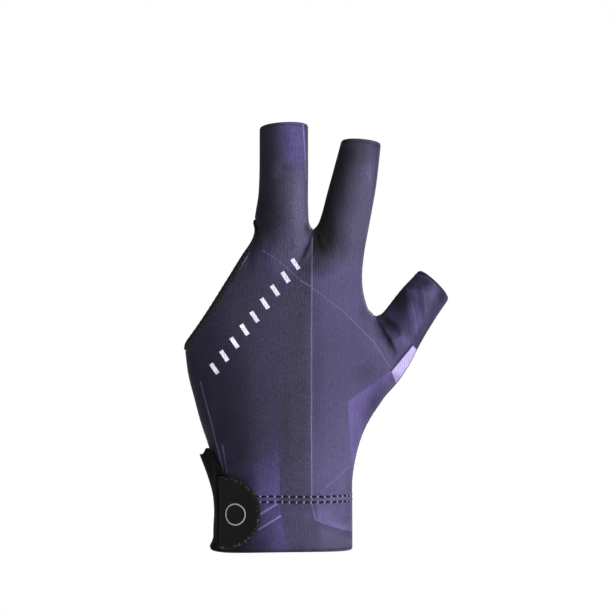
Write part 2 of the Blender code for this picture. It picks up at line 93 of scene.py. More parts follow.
MIDDLE_INNER = [Edge(144.4, 13.95), Edge(147.4, 12.3), Edge(153, 11.75), Edge(170, 11.7), Edge(192.6, 11.7)]
MIDDLE_OUTER = [Edge(150.0, -12.3), Edge(155.0, -11.5), Edge(160, -10.7), Edge(166, -10.3), Edge(191.3, -10.1)]
# The thumb's two sides run slantwise, so their rows go by the share of the sleeve's length.
Rim = namedtuple("Rim", "share low_x low_z high_x high_z")
THUMB_RIMS = [
    Rim(0.00, 45.9, 69.8, 41.85, 105.75), Rim(0.17, 52.0, 76.6, 45.2, 107.3),
    Rim(0.33, 57.0, 84.0, 48.7, 111.4), Rim(0.50, 61.4, 92.4, 51.9, 115.5),
    Rim(0.67, 65.9, 100.1, 55.3, 119.5), Rim(0.83, 70.6, 107.4, 58.7, 123.0),
    Rim(1.00, 75.2, 113.9, 62.1, 126.7),
]  # fmt: skip

# ---- how full the worn glove is -----------------------------------------------------------------
Fullness = namedtuple("Fullness", "z reach back palm")
FULLNESS = [
    Fullness(0, 17.0, 1.00, 1.00), Fullness(30, 16.0, 0.97, 1.00), Fullness(52, 13.5, 0.88, 1.00),
    Fullness(82, 12.0, 0.84, 1.02), Fullness(118, 11.5, 0.82, 1.00), Fullness(150, 14.0, 0.93, 0.96),
    Fullness(195, 14.0, 0.95, 0.95),
]  # fmt: skip
Pad = namedtuple("Pad", "x z radius rise")  # the fleshy pads of the palm side
PADS = [Pad(24, 60, 21, 5.5), Pad(-24, 52, 19, 3.0), Pad(-1, 86, 17, -2.2)]
Fold = namedtuple("Fold", "x1 z1 x2 z2 width rise")  # creases of the back, where the fabric is drawn between two fingers
FOLDS = [
    Fold(15.0, 143.0, 17.5, 134.0, 2.6, -1.1), Fold(20.5, 142.0, 18.5, 134.5, 2.4, -0.8),
    Fold(12.5, 142.0, 7.5, 131.0, 2.8, -0.7), Fold(9.8, 140.5, 4.0, 133.5, 2.4, 0.5),
    Fold(43.0, 104.0, 46.5, 97.5, 3.0, -1.2), Fold(46.5, 97.5, 50.5, 87.5, 3.4, -1.0),
    Fold(45.5, 104.5, 53.0, 98.5, 2.6, -0.8),
]  # fmt: skip
Mouth = namedtuple("Mouth", "below half")  # half the width of the edged opening, by how far a point is below its top
MOUTH = [Mouth(0, 0), Mouth(5.8, 4.9), Mouth(11.6, 7.9), Mouth(17.4, 10.3), Mouth(23.2, 12.1), Mouth(29, 13.3)]
LEAN_FROM, LEAN_TO, LEAN = 110.0, 193.0, 6.6  # the fingers bend a little towards the palm
THUMB_LEAN, THUMB_LEAN_POWER = 7.0, 1.6


def smooth(table, at, key="z", value="x"):
    """A smooth curve through the table's rows (a cubic between each two, with no overshoot)."""
    k = np.array([getattr(r, key) for r in table], float)
    v = np.array([getattr(r, value) for r in table], float)
    rise = np.diff(v) / np.diff(k)
    slope = np.concatenate([[rise[0]], (rise[1:] + rise[:-1]) / 2, [rise[-1]]])
    at = np.clip(np.asarray(at, float), k[0], k[-1])
    i = np.clip(np.searchsorted(k, at, side="right") - 1, 0, len(k) - 2)
    h = k[i + 1] - k[i]
    t = (at - k[i]) / h
    return (
        (2 * t**3 - 3 * t**2 + 1) * v[i] + (t**3 - 2 * t**2 + t) * h * slope[i]
        + (3 * t**2 - 2 * t**3) * v[i + 1] + (t**3 - t**2) * h * slope[i + 1]
    )  # fmt: skip


def ease(t):
    t = np.clip(t, 0, 1)
    return t * t * (3 - 2 * t)


def round_shares(cells):
    """Shares of a width whose points are evenly spaced round a half circle."""
    return (1 - np.cos(np.pi * np.arange(cells + 1) / cells)) / 2


class Layout:
    """The panel's quads laid out in the plane of the hand: .xz points, .quads, and which points lie on which edge."""

    def __init__(self, opening):
        self.xz, self.index, self.quads = [], {}, []
        self.outline, self.opening = set(), []
        self.thumb_share = {}
        corner = ROWS_TO_THUMB + ROWS_TO_CORNER
        web = ROWS_TO_THUMB + FINGER_CELLS
        top = web + ROWS_TO_FINGERS
        left_z = self.heights(
            (0, LITTLE_AT_THUMB, ROWS_TO_THUMB), (LITTLE_AT_THUMB, LITTLE_SIDE[-1].z, ROWS_TO_CORNER),
            (LITTLE_SIDE[-1].z, LITTLE_AT_WEB, web - corner), (LITTLE_AT_WEB, opening[-1].z, ROWS_TO_FINGERS),
        )  # fmt: skip
        low, high = THUMB_SIDE[-1], INDEX_OUTER[0]
        right_z = self.heights(
            (0, low.z, ROWS_TO_THUMB), (low.z, high.z, FINGER_CELLS), (high.z, INDEX_ROOT, ROWS_TO_FINGERS),
        )  # fmt: skip
        one = round_shares(PALM_CELLS)
        fingers = round_shares(FINGER_CELLS)
        web_x, web_z = INDEX_INNER[0].x, INDEX_INNER[0].z
        for row in range(top + 1):
            zl, zr = left_z[row], right_z[row]
            xl = smooth(LITTLE_SIDE, zl) if row <= corner else smooth(opening, zl)
            if row <= ROWS_TO_THUMB:
                xr = smooth(THUMB_SIDE, zr)
            elif row <= web:
                t = (row - ROWS_TO_THUMB) / FINGER_CELLS
                xr = low.x + (high.x - low.x) * t + WEB_BOW * np.sin(np.pi * t)
            else:
                xr = smooth(INDEX_OUTER, zr)
            to_top = np.clip((row - web) / (top - web), 0, 1)
            split = (web_x - xl) / (xr - xl)
            two = np.concatenate([fingers * split, split + fingers[1:] * (1 - split)])
            share = one + (two - one) * ease(to_top)
            z = zl + (zr - zl) * share
            fall = np.interp(share, [0, split, 1], [0, 1, 0]) * (zl + (zr - zl) * split - web_z)
            z = z - fall * to_top**3
            x = xl + (xr - xl) * share
            for c in range(PALM_CELLS + 1):
                self.add(("palm", row, c), x[c], z[c])
        self.grid("palm", top, PALM_CELLS)
        for c in range(FINGER_CELLS + 1):
            self.index["middle", 0, c] = self.index["palm", top, c]
            self.index["index", 0, c] = self.index["palm", top, FINGER_CELLS + c]
            self.index["thumb", 0, c] = self.index["palm", ROWS_TO_THUMB + c, PALM_CELLS]
        self.sleeve("middle", MIDDLE_OUTER, MIDDLE_INNER, left_z[-1], web_z, fingers)
        self.sleeve("index", INDEX_INNER, INDEX_OUTER, web_z, right_z[-1], fingers)
        self.thumb(fingers)
        p, i = self.index, self.outline
        i.update(p["palm", r, 0] for r in range(corner + 1))
        i.update(p["palm", r, PALM_CELLS] for r in range(ROWS_TO_THUMB + 1))
        i.update(p["palm", r, PALM_CELLS] for r in range(web, top + 1))
        for name, rows in SLEEVE_ROWS.items():
            i.update(p[name, r, c] for r in range(rows + 1) for c in (0, FINGER_CELLS))
        self.opening = [p["palm", r, 0] for r in range(corner, top + 1)]
        self.xz = np.array(self.xz)
        self.quads = np.array(self.quads)

    @staticmethod
    def heights(*stretches):
        """The rows' heights along one side, each stretch given as (from, to, rows)."""
        return np.concatenate([[stretches[0][0]], *(np.linspace(a, b, rows + 1)[1:] for a, b, rows in stretches)])

    def add(self, key, x, z):
        self.index[key] = len(self.xz)
        self.xz.append((float(x), float(z)))

    def grid(self, name, rows, cells, flip=False):
        for r in range(rows):
            for c in range(cells):
                q = [self.index[name, r + a, c + b] for a, b in ((0, 0), (0, 1), (1, 1), (1, 0))]
                self.quads.append(q[::-1] if flip else q)

    def sleeve(self, name, left, right, left_from, right_from, shares):
        rows = SLEEVE_ROWS[name]
        for r in range(1, rows + 1):
            t = r / rows
            zl = left_from + (left[-1].z - left_from) * t
            zr = right_from + (right[-1].z - right_from) * t
            xl, xr = smooth(left, zl), smooth(right, zr)
            for c, s in enumerate(shares):
                self.add((name, r, c), xl + (xr - xl) * s, zl + (zr - zl) * s)
        self.grid(name, rows, FINGER_CELLS)

    def thumb(self, shares):
        rows = SLEEVE_ROWS["thumb"]
        even = np.arange(FINGER_CELLS + 1) / FINGER_CELLS
        for r in range(1, rows + 1):
            t = r / rows
            lx, lz, hx, hz = (smooth(THUMB_RIMS, t, "share", k) for k in Rim._fields[1:])
            for c in range(FINGER_CELLS + 1):
                s = even[c] + (shares[c] - even[c]) * ease(t * 2.5)
                bow = THUMB_BOW * np.sin(np.pi * s) * (1 - t) ** 2
                self.add(("thumb", r, c), lx + (hx - lx) * s + bow, lz + (hz - lz) * s)
                self.thumb_share[self.index["thumb", r, c]] = t
        self.grid("thumb", rows, FINGER_CELLS, flip=True)


def mouth(layout):
    """The squared half width of the edged opening at each of its points near its top."""
    top = layout.xz[layout.opening[-1], 1]
    below = {i: top - layout.xz[i, 1] for i in layout.opening}
    return {i: float(smooth(MOUTH, b, "below", "half")) ** 2 for i, b in below.items() if b <= MOUTH[-1].below + 0.01}


def inflate(layout, reach):
    """Half of the worn glove's thickness at each point: the same membrane as in CAD, solved by conjugate gradients."""
    n = len(layout.xz)
    q = layout.quads
    tri = np.concatenate([q[:, [0, 1, 2]], q[:, [0, 2, 3]], q[:, [0, 1, 3]], q[:, [1, 2, 3]]])
    a, b, c = (layout.xz[tri[:, k]] for k in range(3))
    twice = np.abs((b[:, 0] - a[:, 0]) * (c[:, 1] - a[:, 1]) - (b[:, 1] - a[:, 1]) * (c[:, 0] - a[:, 0]))
    good = twice > 1e-9
    tri, a, b, c, twice = tri[good], a[good], b[good], c[good], twice[good]
    side = np.stack([c - b, a - c, b - a], 1)
    each = np.einsum("tik,tjk->tij", side, side) / (4 * twice)[:, None, None]
    rows = np.repeat(tri, 3, axis=1).ravel()
    cols = np.tile(tri, (1, 3)).ravel()
    area = np.bincount(tri.ravel(), np.repeat(twice / 12, 3), n)
    extra = area / reach**2

    def times(u):
        return np.bincount(rows, each.ravel() * u[cols], n) + extra * u

    u = np.zeros(n)
    free = np.ones(n, bool)
    free[list(layout.outline)] = False
    held = mouth(layout)
    u[list(held)] = list(held.values())
    free[list(held)] = False
    residual = np.where(free, 2 * area - times(u), 0)
    scale = np.bincount(rows[rows == cols], each.ravel()[rows == cols], n) + extra
    z = residual / scale
    direction, value = z.copy(), residual @ z
    for _ in range(1500):
        moved = np.where(free, times(direction), 0)
        step = value / (direction @ moved)
        u += step * direction
        residual -= step * moved
        z = residual / scale
        new = residual @ z
        if new < 1e-14 * len(z):
            break
        direction = z + direction * (new / value)
        value = new
    return np.sqrt(np.maximum(u, 0))


def lean(layout):
    """How far the middle of the glove lies towards the palm, and how steeply its fingers lean, as a slope along (x, z)."""
    x, z = layout.xz.T
    t = np.clip((z - LEAN_FROM) / (LEAN_TO - LEAN_FROM), 0, 1.2)
    share = np.zeros(len(z))
    for i, s in layout.thumb_share.items():
        share[i] = s
    on_thumb = np.zeros(len(z), bool)
    on_thumb[list(layout.thumb_share)] = True
    t = np.where(on_thumb | ((x > 40) & (z < 112)), 0, t)
    middle = LEAN * t**2 + THUMB_LEAN * share**THUMB_LEAN_POWER
    slope_z = 2 * LEAN * t / (LEAN_TO - LEAN_FROM)
    slope_thumb = THUMB_LEAN * THUMB_LEAN_POWER * share ** (THUMB_LEAN_POWER - 1) / 48
    along = np.stack([slope_thumb * 0.61, slope_z + slope_thumb * 0.79], 1)
    return middle, along


def away_from(fold, x, z):
    """How far each point is from the fold's line."""
    dx, dz = fold.x2 - fold.x1, fold.z2 - fold.z1
    t = np.clip(((x - fold.x1) * dx + (z - fold.z1) * dz) / (dx * dx + dz * dz), 0, 1)
    return np.hypot(x - fold.x1 - t * dx, z - fold.z1 - t * dz)


def surface(layout, half, side):
    """The outer face of a panel, in millimetres. side is -1 for the back of the hand and 1 for the palm."""
    x, z = layout.xz.T
    full = smooth(FULLNESS, z, value="back" if side < 0 else "palm")
    height = half * full
    if side > 0:
        most = half.max()
        for pad in PADS:
            away = ((x - pad.x) ** 2 + (z - pad.z) ** 2) / pad.radius**2
            height = height + pad.rise * np.exp(-away) * np.clip(half / most * 1.25, 0, 1)
    else:
        for fold in FOLDS:
            height = height + fold.rise * np.exp(-((away_from(fold, x, z) / fold.width) ** 2)) * np.clip(half / 6, 0, 1)
    middle, along = lean(layout)
    y = middle + side * (height + SEAM_GAP / 2)
    moved = layout.xz - side * height[:, None] * along
    near_hem = np.clip(1 - z / HEM_HEIGHT, 0, 1)
    across = np.clip((x - LITTLE_SIDE[0].x) / (THUMB_SIDE[0].x - LITTLE_SIDE[0].x), 0, 1)
    sag = HEM_RISE_BACK if side < 0 else HEM_RISE_PALM
    rise = HEM_RISE_ENDS[0] + (HEM_RISE_ENDS[1] - HEM_RISE_ENDS[0]) * across + sag * 4 * across * (1 - across)
    moved[:, 1] += near_hem * rise
    return np.stack([moved[:, 0], y, moved[:, 1]], 1)


def corner_normals(points, faces):
    a, b, c, d = (points[faces[:, k]] for k in range(4))
    each = np.cross(c - a, d - b)
    total = np.zeros_like(points)
    for k in range(4):
        np.add.at(total, faces[:, k], each)
    return total / np.linalg.norm(total, axis=1)[:, None]


def inner_face(layout, points, faces, wall, side):
    """The outer face moved inwards by the wall, kept on its own side of the seam between the panels."""
    inner = points - corner_normals(points, faces) * wall[:, None]
    middle, along = lean(layout)
    moved = inner[:, [0, 2]] - layout.xz
    seam = middle + (moved * along).sum(1)
    inner[:, 1] = seam + side * np.maximum(side * (inner[:, 1] - seam), SEAM_GAP / 2)
    return inner


def open_edges(faces):
    """The edges that only one face has, in the order that face goes round."""
    ends = np.concatenate([faces[:, [k, (k + 1) % 4]] for k in range(4)])
    seen = {tuple(e) for e in ends}
    return [e for e in seen if e[::-1] not in seen]


def round_trip(line):
    """The distance along a closed line at each of its points, and at its start again."""
    step = np.linalg.norm(np.diff(np.concatenate([line, line[:1]]), axis=0), axis=1)
    return np.concatenate([[0], np.cumsum(step)])


def rounded_loop(line, passes):
    """A closed line with its corners rounded."""
    for _ in range(passes):
        line = (np.roll(line, 1, 0) + 2 * line + np.roll(line, -1, 0)) / 4
    return line


class Wrist:
    """The worn wrist's outside, as a line round it at any height: s = 0 at the little-finger side, + over the back."""

    def __init__(self, layout, back, palm):
        rows = range(int(ROWS_TO_THUMB * WRIST_HEIGHT / LITTLE_AT_THUMB) + 1)
        ring = []
        for r in rows:
            ids = [layout.index["palm", r, c] for c in range(PALM_CELLS + 1)]
            ring.append(np.concatenate([palm[ids[::-1]], back[ids[1:]]]))
        self.z = np.array([np.mean(line[:, 2]) for line in ring])
        self.ring = np.array(ring)

    def at(self, z, s):
        """(point on the outside, outward direction) at height z and distance s round from the side."""
        k = np.clip(np.interp(z, self.z, np.arange(len(self.z))), 0, len(self.z) - 1.001)
        i = int(k)
        line = self.ring[i] + (self.ring[i + 1] - self.ring[i]) * (k - i)
        fine = np.stack([np.interp(np.linspace(0, 1, 257), np.linspace(0, 1, len(line)), line[:, q]) for q in range(2)], 1)
        for _ in range(24):
            fine[1:-1] = (fine[:-2] + 2 * fine[1:-1] + fine[2:]) / 4
        length = np.concatenate([[0], np.cumsum(np.linalg.norm(np.diff(fine, axis=0), axis=1))])
        length -= np.interp(np.argmin(fine[:, 0]), np.arange(257), length)
        point = np.array([np.interp(s, length, fine[:, q]) for q in range(2)])
        tangent = np.array([np.interp(s + 1.5, length, fine[:, q]) - np.interp(s - 1.5, length, fine[:, q]) for q in range(2)])
        tangent /= np.linalg.norm(tangent)
        normal = np.array([tangent[1], -tangent[0]])
        if normal[0] * (point[0] - 1) + normal[1] * point[1] < 0:
            normal = -normal
        return np.array([point[0], point[1], z]), np.array([normal[0], normal[1], 0])


# The strap, round the wrist: s is the distance from the little-finger side, low and high are its two edges, and
# stand is how far its upper edge stands off the glove there.
Band = namedtuple("Band", "s low high stand")
STRAP = [
    Band(-34, 2.0, 41.0, 0.0), Band(-26, 2.0, 42.5, 0.4), Band(-18, 2.1, 43.6, 1.2),
    Band(-10, 2.3, 43.8, 2.3), Band(-4, 2.4, 43.9, 3.3), Band(0, 2.3, 44.1, 3.8), Band(2.5, 1.8, 44.3, 2.7),
    Band(4, 1.4, 45.8, 1.5), Band(5.2, 1.1, 47.3, 0.9), Band(6.6, 1.0, 45.9, 0.7), Band(9, 0.9, 41.4, 0.5),
]  # fmt: skip
TAB_FROM, TAB_LENGTH, TAB_LOW, TAB_HIGH = 9.4, 19.8, 2.9, 34.7
STRAP_OFF = 0.45  # clearance under the strap where it lies on the glove
STRAP_FLARE = 1.9  # how far its lower edge turns outwards at the side


def band_at(s):
    """The strap's low and high edges and its stand, at a distance round the wrist."""
    return (float(smooth(STRAP, s, "s", k)) for k in ("low", "high", "stand"))


# ==== meshes ========================================================================================
def new_mesh(name, points, faces, looks, slots=None, body="root"):
    mesh = bpy.data.meshes.new(name)
    points = (np.asarray(points, float) - WRIST_MIDDLE) * MM
    mesh.from_pydata([tuple(p) for p in points], [], [tuple(int(i) for i in f) for f in faces])
    obj = bpy.data.objects.new(name, mesh)
    bpy.context.scene.collection.objects.link(obj)
    for look in looks:
        mesh.materials.append(look)
    if slots is not None:
        mesh.polygons.foreach_set("material_index", np.asarray(slots, np.int32))
    mesh.shade_smooth()
    mesh.update()
    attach(obj, body)
    return obj


def soften(obj, levels=1):
    """One level of subdivision unless levels says more, as a modifier that is not applied here."""
    sub = obj.modifiers.new("soften", "SUBSURF")
    sub.levels = sub.render_levels = levels
    sub.use_limit_surface = False


def settle(obj):
    """Makes the object's subdivided shape its mesh, so that finer detail can be pressed into it."""
    mesh = bpy.data.meshes.new_from_object(obj.evaluated_get(bpy.context.evaluated_depsgraph_get()))
    obj.modifiers.clear()
    obj.data = mesh


def at_vertices(obj, layer):
    """A UV layer's value at each vertex."""
    loops = np.empty(len(obj.data.loops), np.int32)
    obj.data.loops.foreach_get("vertex_index", loops)
    values = np.empty(2 * len(loops), np.float32)
    obj.data.uv_layers[layer].data.foreach_get("uv", values)
    found = np.zeros((len(obj.data.vertices), 2))
    found[loops] = values.reshape(-1, 2)
    return found


def set_uv(obj, uv, name="cloth"):
    """uv: one pair for each vertex, in metres of cloth times ten."""
    layer = obj.data.uv_layers.new(name=name)
    loops = np.empty(len(obj.data.loops), np.int32)
    obj.data.loops.foreach_get("vertex_index", loops)
    layer.data.foreach_set("uv", np.asarray(uv, np.float32)[loops].ravel())


def along_cloth(layout, points):
    """(u, v) in millimetres of cloth at each point: u across the wales from the line x = 0, v along them.

    u is the distance along each row of the panel, and the difference from plain x is evened out over the
    panel, so the wales bend gently where the fingers part."""
    stray = np.zeros((len(points), 2))
    web, m = ROWS_TO_THUMB + FINGER_CELLS, FINGER_CELLS
    for name, rows, cells in (("palm", web + ROWS_TO_FINGERS, PALM_CELLS), ("middle", SLEEVE_ROWS["middle"], m),
                              ("index", SLEEVE_ROWS["index"], m)):  # fmt: skip
        base = None
        for r in range(rows + 1):
            ids = [layout.index[name, r, c] for c in range(cells + 1)]
            line = points[ids]
            s = np.concatenate([[0], np.cumsum(np.linalg.norm(np.diff(line, axis=0), axis=1))])
            if name != "index":
                s -= np.interp(0, line[:, 0], s)
            else:
                base = stray[ids[m // 2], 0] + line[m // 2, 0] if base is None else base
                s += base - s[m // 2]
            if r or name == "palm":
                stray[ids, 0] = s - line[:, 0]
    for r in range(1, SLEEVE_ROWS["thumb"] + 1):
        for c in range(m + 1):
            stray[layout.index["thumb", r, c]] = stray[layout.index["palm", ROWS_TO_THUMB + c, PALM_CELLS]]
    ends = np.concatenate([layout.quads[:, [k, (k + 1) % 4]] for k in range(4)])
    ends = np.concatenate([ends, ends[:, ::-1]])
    count = np.bincount(ends[:, 0], minlength=len(points))
    for _ in range(90):
        mean = np.stack([np.bincount(ends[:, 0], stray[ends[:, 1], k], len(points)) for k in range(2)], 1) / count[:, None]
        stray = (stray + mean) / 2
    return stray + points[:, [0, 2]]


def tube(path, radius, sides=6, closed=False, flat=1.0, up=None, taper=False):
    """(points, faces) of a tube along a path. flat squeezes it along `up`."""
    path = np.asarray(path, float)
    ahead = (np.roll(path, -1, 0) - np.roll(path, 1, 0)) if closed else np.gradient(path, axis=0)
    ahead /= np.linalg.norm(ahead, axis=1)[:, None]
    up = np.broadcast_to(np.array([0, 0, 1.0]) if up is None else np.asarray(up, float), path.shape)
    side = np.cross(ahead, up)
    side /= np.maximum(np.linalg.norm(side, axis=1), 1e-9)[:, None]
    normal = np.cross(side, ahead)
    angle = 2 * np.pi * np.arange(sides) / sides
    size = np.full(len(path), float(radius)) if np.isscalar(radius) else np.asarray(radius, float)
    if taper and not closed:
        t = np.linspace(-1, 1, len(path))
        size = size * np.sqrt(np.maximum(1 - np.abs(t) ** 6, 0.03))
    ring = (side[:, None] * np.cos(angle)[None, :, None] + flat * normal[:, None] * np.sin(angle)[None, :, None])
    points = (path[:, None] + ring * size[:, None, None]).reshape(-1, 3)
    n, m = len(path), sides
    faces = [(r * m + k, r * m + (k + 1) % m, ((r + 1) % n) * m + (k + 1) % m, ((r + 1) % n) * m + k)
             for r in range(n if closed else n - 1) for k in range(m)]  # fmt: skip
    if not closed:
        faces.append(tuple(range(m))[::-1])
        faces.append(tuple((n - 1) * m + k for k in range(m)))
    return points, faces


def join(pieces):
    points, faces, start = [], [], 0
    for p, f in pieces:
        points.append(p)
        faces += [tuple(i + start for i in face) for face in f]
        start += len(p)
    return np.concatenate(points), faces


def outward_mesh(obj):
    bm = bmesh.new()
    bm.from_mesh(obj.data)
    bmesh.ops.recalc_face_normals(bm, faces=bm.faces)
    bm.to_mesh(obj.data)
    bm.free()


# ==== materials: arithmetic on node sockets =========================================================
class Num:
    """A number in a node tree, for writing sums."""

    def __init__(self, tree, socket):
        self.tree, self.socket = tree, socket

    def do(self, op, *others, clamp=False):
        node = self.tree.nodes.new("ShaderNodeMath")
        node.operation, node.use_clamp = op, clamp
        for i, value in enumerate((self, *others)):
            if isinstance(value, Num):
                self.tree.links.new(value.socket, node.inputs[i])
            else:
                node.inputs[i].default_value = value
        return Num(self.tree, node.outputs[0])

    def __add__(self, o): return self.do("ADD", o)
    def __sub__(self, o): return self.do("SUBTRACT", o)
    def __mul__(self, o): return self.do("MULTIPLY", o)
    __radd__, __rmul__ = __add__, __mul__
    def __rsub__(self, o): return (self * -1.0) + o
    def least(self, o): return self.do("MINIMUM", o)
    def most(self, o): return self.do("MAXIMUM", o)
    def clamp(self): return self.do("ADD", 0.0, clamp=True)
    def sin(self): return self.do("SINE")
    def root(self): return self.do("SQRT")
    def power(self, o): return self.do("POWER", o)

    def step(self, low, high):
        """0 below low and 1 above high, smooth between."""
        node = self.tree.nodes.new("ShaderNodeMapRange")
        node.interpolation_type = "SMOOTHSTEP"
        feed(self.tree, node, (self, low, high))
        return Num(self.tree, node.outputs[0])


def feed(tree, node, values):
    """Links or sets a node's first inputs."""
    for k, value in enumerate(values):
        if isinstance(value, Num):
            tree.links.new(value.socket, node.inputs[k])
        else:
            node.inputs[k].default_value = value


GROUPS = {}


def grouped(recipe, *values):
    """The sum that a recipe writes, kept as one node group that every use of it shares."""
    if recipe not in GROUPS:
        inner = bpy.data.node_groups.new(recipe.__name__, "ShaderNodeTree")
        for k in range(len(values)):
            inner.interface.new_socket(name=f"value_{k}", in_out="INPUT", socket_type="NodeSocketFloat")
        inner.interface.new_socket(name="mask", in_out="OUTPUT", socket_type="NodeSocketFloat")
        start, end = inner.nodes.new("NodeGroupInput"), inner.nodes.new("NodeGroupOutput")
        made = recipe(*(Num(inner, start.outputs[k]) for k in range(len(values))))
        inner.links.new(made.socket, end.inputs[0])
        GROUPS[recipe] = inner
    tree = next(v.tree for v in values if isinstance(v, Num))
    node = tree.nodes.new("ShaderNodeGroup")
    node.node_tree = GROUPS[recipe]
    feed(tree, node, values)
    return Num(tree, node.outputs[0])


class Look:
    """A Principled material being put together."""

    def __init__(self, name, colour, roughness, **uniform):
        self.material = bpy.data.materials.new(name)
        self.material.use_nodes = True
        self.tree = self.material.node_tree
        self.shader = self.tree.nodes["Principled BSDF"]
        self.shader.inputs["Roughness"].default_value = roughness
        self.shader.inputs["Base Color"].default_value = (*colour, 1)
        for key, value in uniform.items():
            self.shader.inputs[key.replace("_", " ")].default_value = value
        at = self.tree.nodes.new("ShaderNodeTexCoord")
        split = self.tree.nodes.new("ShaderNodeSeparateXYZ")
        self.at = at
        self.tree.links.new(at.outputs["Object"], split.inputs[0])
        self.x, self.y, self.z = (Num(self.tree, split.outputs[k]) * 1000.0 for k in range(3))
        self.colour = None
        self.start = colour
        self.height = None

    def cloth(self, name="cloth"):
        node = self.tree.nodes.new("ShaderNodeUVMap")
        node.uv_map = name
        split = self.tree.nodes.new("ShaderNodeSeparateXYZ")
        self.tree.links.new(node.outputs[0], split.inputs[0])
        return Num(self.tree, split.outputs[0]) * 100.0, Num(self.tree, split.outputs[1]) * 100.0

    def noise(self, scale, detail=2.0, stretch=(1, 1, 1), rough=0.5):
        """Object-space noise, scale in features a millimetre."""
        mapping = self.tree.nodes.new("ShaderNodeMapping")
        mapping.inputs["Scale"].default_value = tuple(1000.0 * scale * s for s in stretch)
        self.tree.links.new(self.at.outputs["Object"], mapping.inputs[0])
        node = self.tree.nodes.new("ShaderNodeTexNoise")
        node.inputs["Scale"].default_value = 1.0
        node.inputs["Detail"].default_value = detail
        node.inputs["Roughness"].default_value = rough
        self.tree.links.new(mapping.outputs[0], node.inputs["Vector"])
        return Num(self.tree, node.outputs[0])

    def noise_uv(self, u, v, detail=2.0):
        node = self.tree.nodes.new("ShaderNodeCombineXYZ")
        self.tree.links.new(u.socket, node.inputs[0])
        self.tree.links.new(v.socket, node.inputs[1])
        tex = self.tree.nodes.new("ShaderNodeTexNoise")
        tex.inputs["Scale"].default_value = 1.0
        tex.inputs["Detail"].default_value = detail
        self.tree.links.new(node.outputs[0], tex.inputs["Vector"])
        return Num(self.tree, tex.outputs[0])

    def paint(self, mask, colour, strength=1.0):
        """Lays a colour over what is there, where mask is 1."""
        node = self.tree.nodes.new("ShaderNodeMix")
        node.data_type = "RGBA"
        if isinstance(mask, Num):
            mask = mask * strength if strength != 1.0 else mask
            self.tree.links.new(mask.socket, node.inputs[0])
        else:
            node.inputs[0].default_value = mask
        if self.colour is None:
            node.inputs[6].default_value = (*self.start, 1)
        else:
            self.tree.links.new(self.colour, node.inputs[6])
        node.inputs[7].default_value = (*colour, 1)
        self.colour = node.outputs[2]

    def dim(self, factor):
        """Multiplies the colour by a number."""
        node = self.tree.nodes.new("ShaderNodeVectorMath")
        node.operation = "SCALE"
        if self.colour is None:
            node.inputs[0].default_value = self.start
        else:
            self.tree.links.new(self.colour, node.inputs[0])
        self.tree.links.new(factor.socket, node.inputs["Scale"])
        self.colour = node.outputs[0]

    def raise_by(self, height):
        self.height = height if self.height is None else self.height + height

    def finish(self, roughness=None):
        """Links colour, roughness and bump. Heights are in millimetres."""
        if self.colour is not None:
            self.tree.links.new(self.colour, self.shader.inputs["Base Color"])
        if roughness is not None:
            self.tree.links.new(roughness.socket, self.shader.inputs["Roughness"])
        if self.height is not None:
            bump = self.tree.nodes.new("ShaderNodeBump")
            bump.inputs["Strength"].default_value = 1.0
            bump.inputs["Distance"].default_value = MM
            self.tree.links.new(self.height.socket, bump.inputs["Height"])
            self.tree.links.new(bump.outputs[0], self.shader.inputs["Normal"])
        return self.material


def from_line(x, z, nx, nz, off):
    return x * nx + z * nz - off


def on_segment(x, z, nx, nz, off, middle, half, wide, soft):
    """1 on a straight line: (nx, nz) is its unit normal, and off, middle, half, wide and soft are its measures."""
    across = (x * nx + z * nz - off).do("ABSOLUTE")
    past = (x * nz - z * nx - middle).do("ABSOLUTE") - half
    return 1.0 - across.most(past + wide).step(wide - soft, wide + soft)


def in_ellipse(x, z, cx, cz, per_wide, per_high, core):
    dx, dz = (x - cx) * per_wide, (z - cz) * per_high
    return 1.0 - (dx * dx + dz * dz).root().step(core, 1.0)


def half_plane(x, z, a, b):
    """The signed distance from the line a to b, positive on its left."""
    dx, dz = b[0] - a[0], b[1] - a[1]
    size = (dx * dx + dz * dz) ** 0.5
    nx, nz = -dz / size, dx / size
    return grouped(from_line, x, z, nx, nz, a[0] * nx + a[1] * nz)


def polygon(x, z, corners, soft=0.5):
    """1 inside a convex polygon."""
    turn = sum(a[0] * b[1] - b[0] * a[1] for a, b in zip(corners, corners[1:] + corners[:1]))
    corners = corners if turn > 0 else corners[::-1]
    least = None
    for a, b in zip(corners, corners[1:] + corners[:1]):
        d = half_plane(x, z, a, b)
        least = d if least is None else least.least(d)
    return least.step(-soft / 2, soft / 2)


def segment(x, z, a, b, width, soft=0.3):
    """1 on a straight line of that width."""
    dx, dz = b[0] - a[0], b[1] - a[1]
    size = (dx * dx + dz * dz) ** 0.5
    nx, nz = -dz / size, dx / size
    middle = (a[0] + b[0]) / 2 * nz - (a[1] + b[1]) / 2 * nx
    return grouped(on_segment, x, z, nx, nz, a[0] * nx + a[1] * nz, middle, size / 2, width / 2, soft / 2)


# Where a point of the photograph's frame lies on the back of the glove, in row millimetres.
PIXEL, VIEW_X, VIEW_Z, CAMERA_AWAY, BACK_DEPTH = 0.45, 9.7, 110.7, 1100.0, 14.0


def at(px, py):
    k = PIXEL * (CAMERA_AWAY - BACK_DEPTH) / CAMERA_AWAY
    return (VIEW_X + (px - 306) * k, VIEW_Z + (306 - py) * k)


def many(*pairs):
    return [at(px, py) for px, py in pairs]
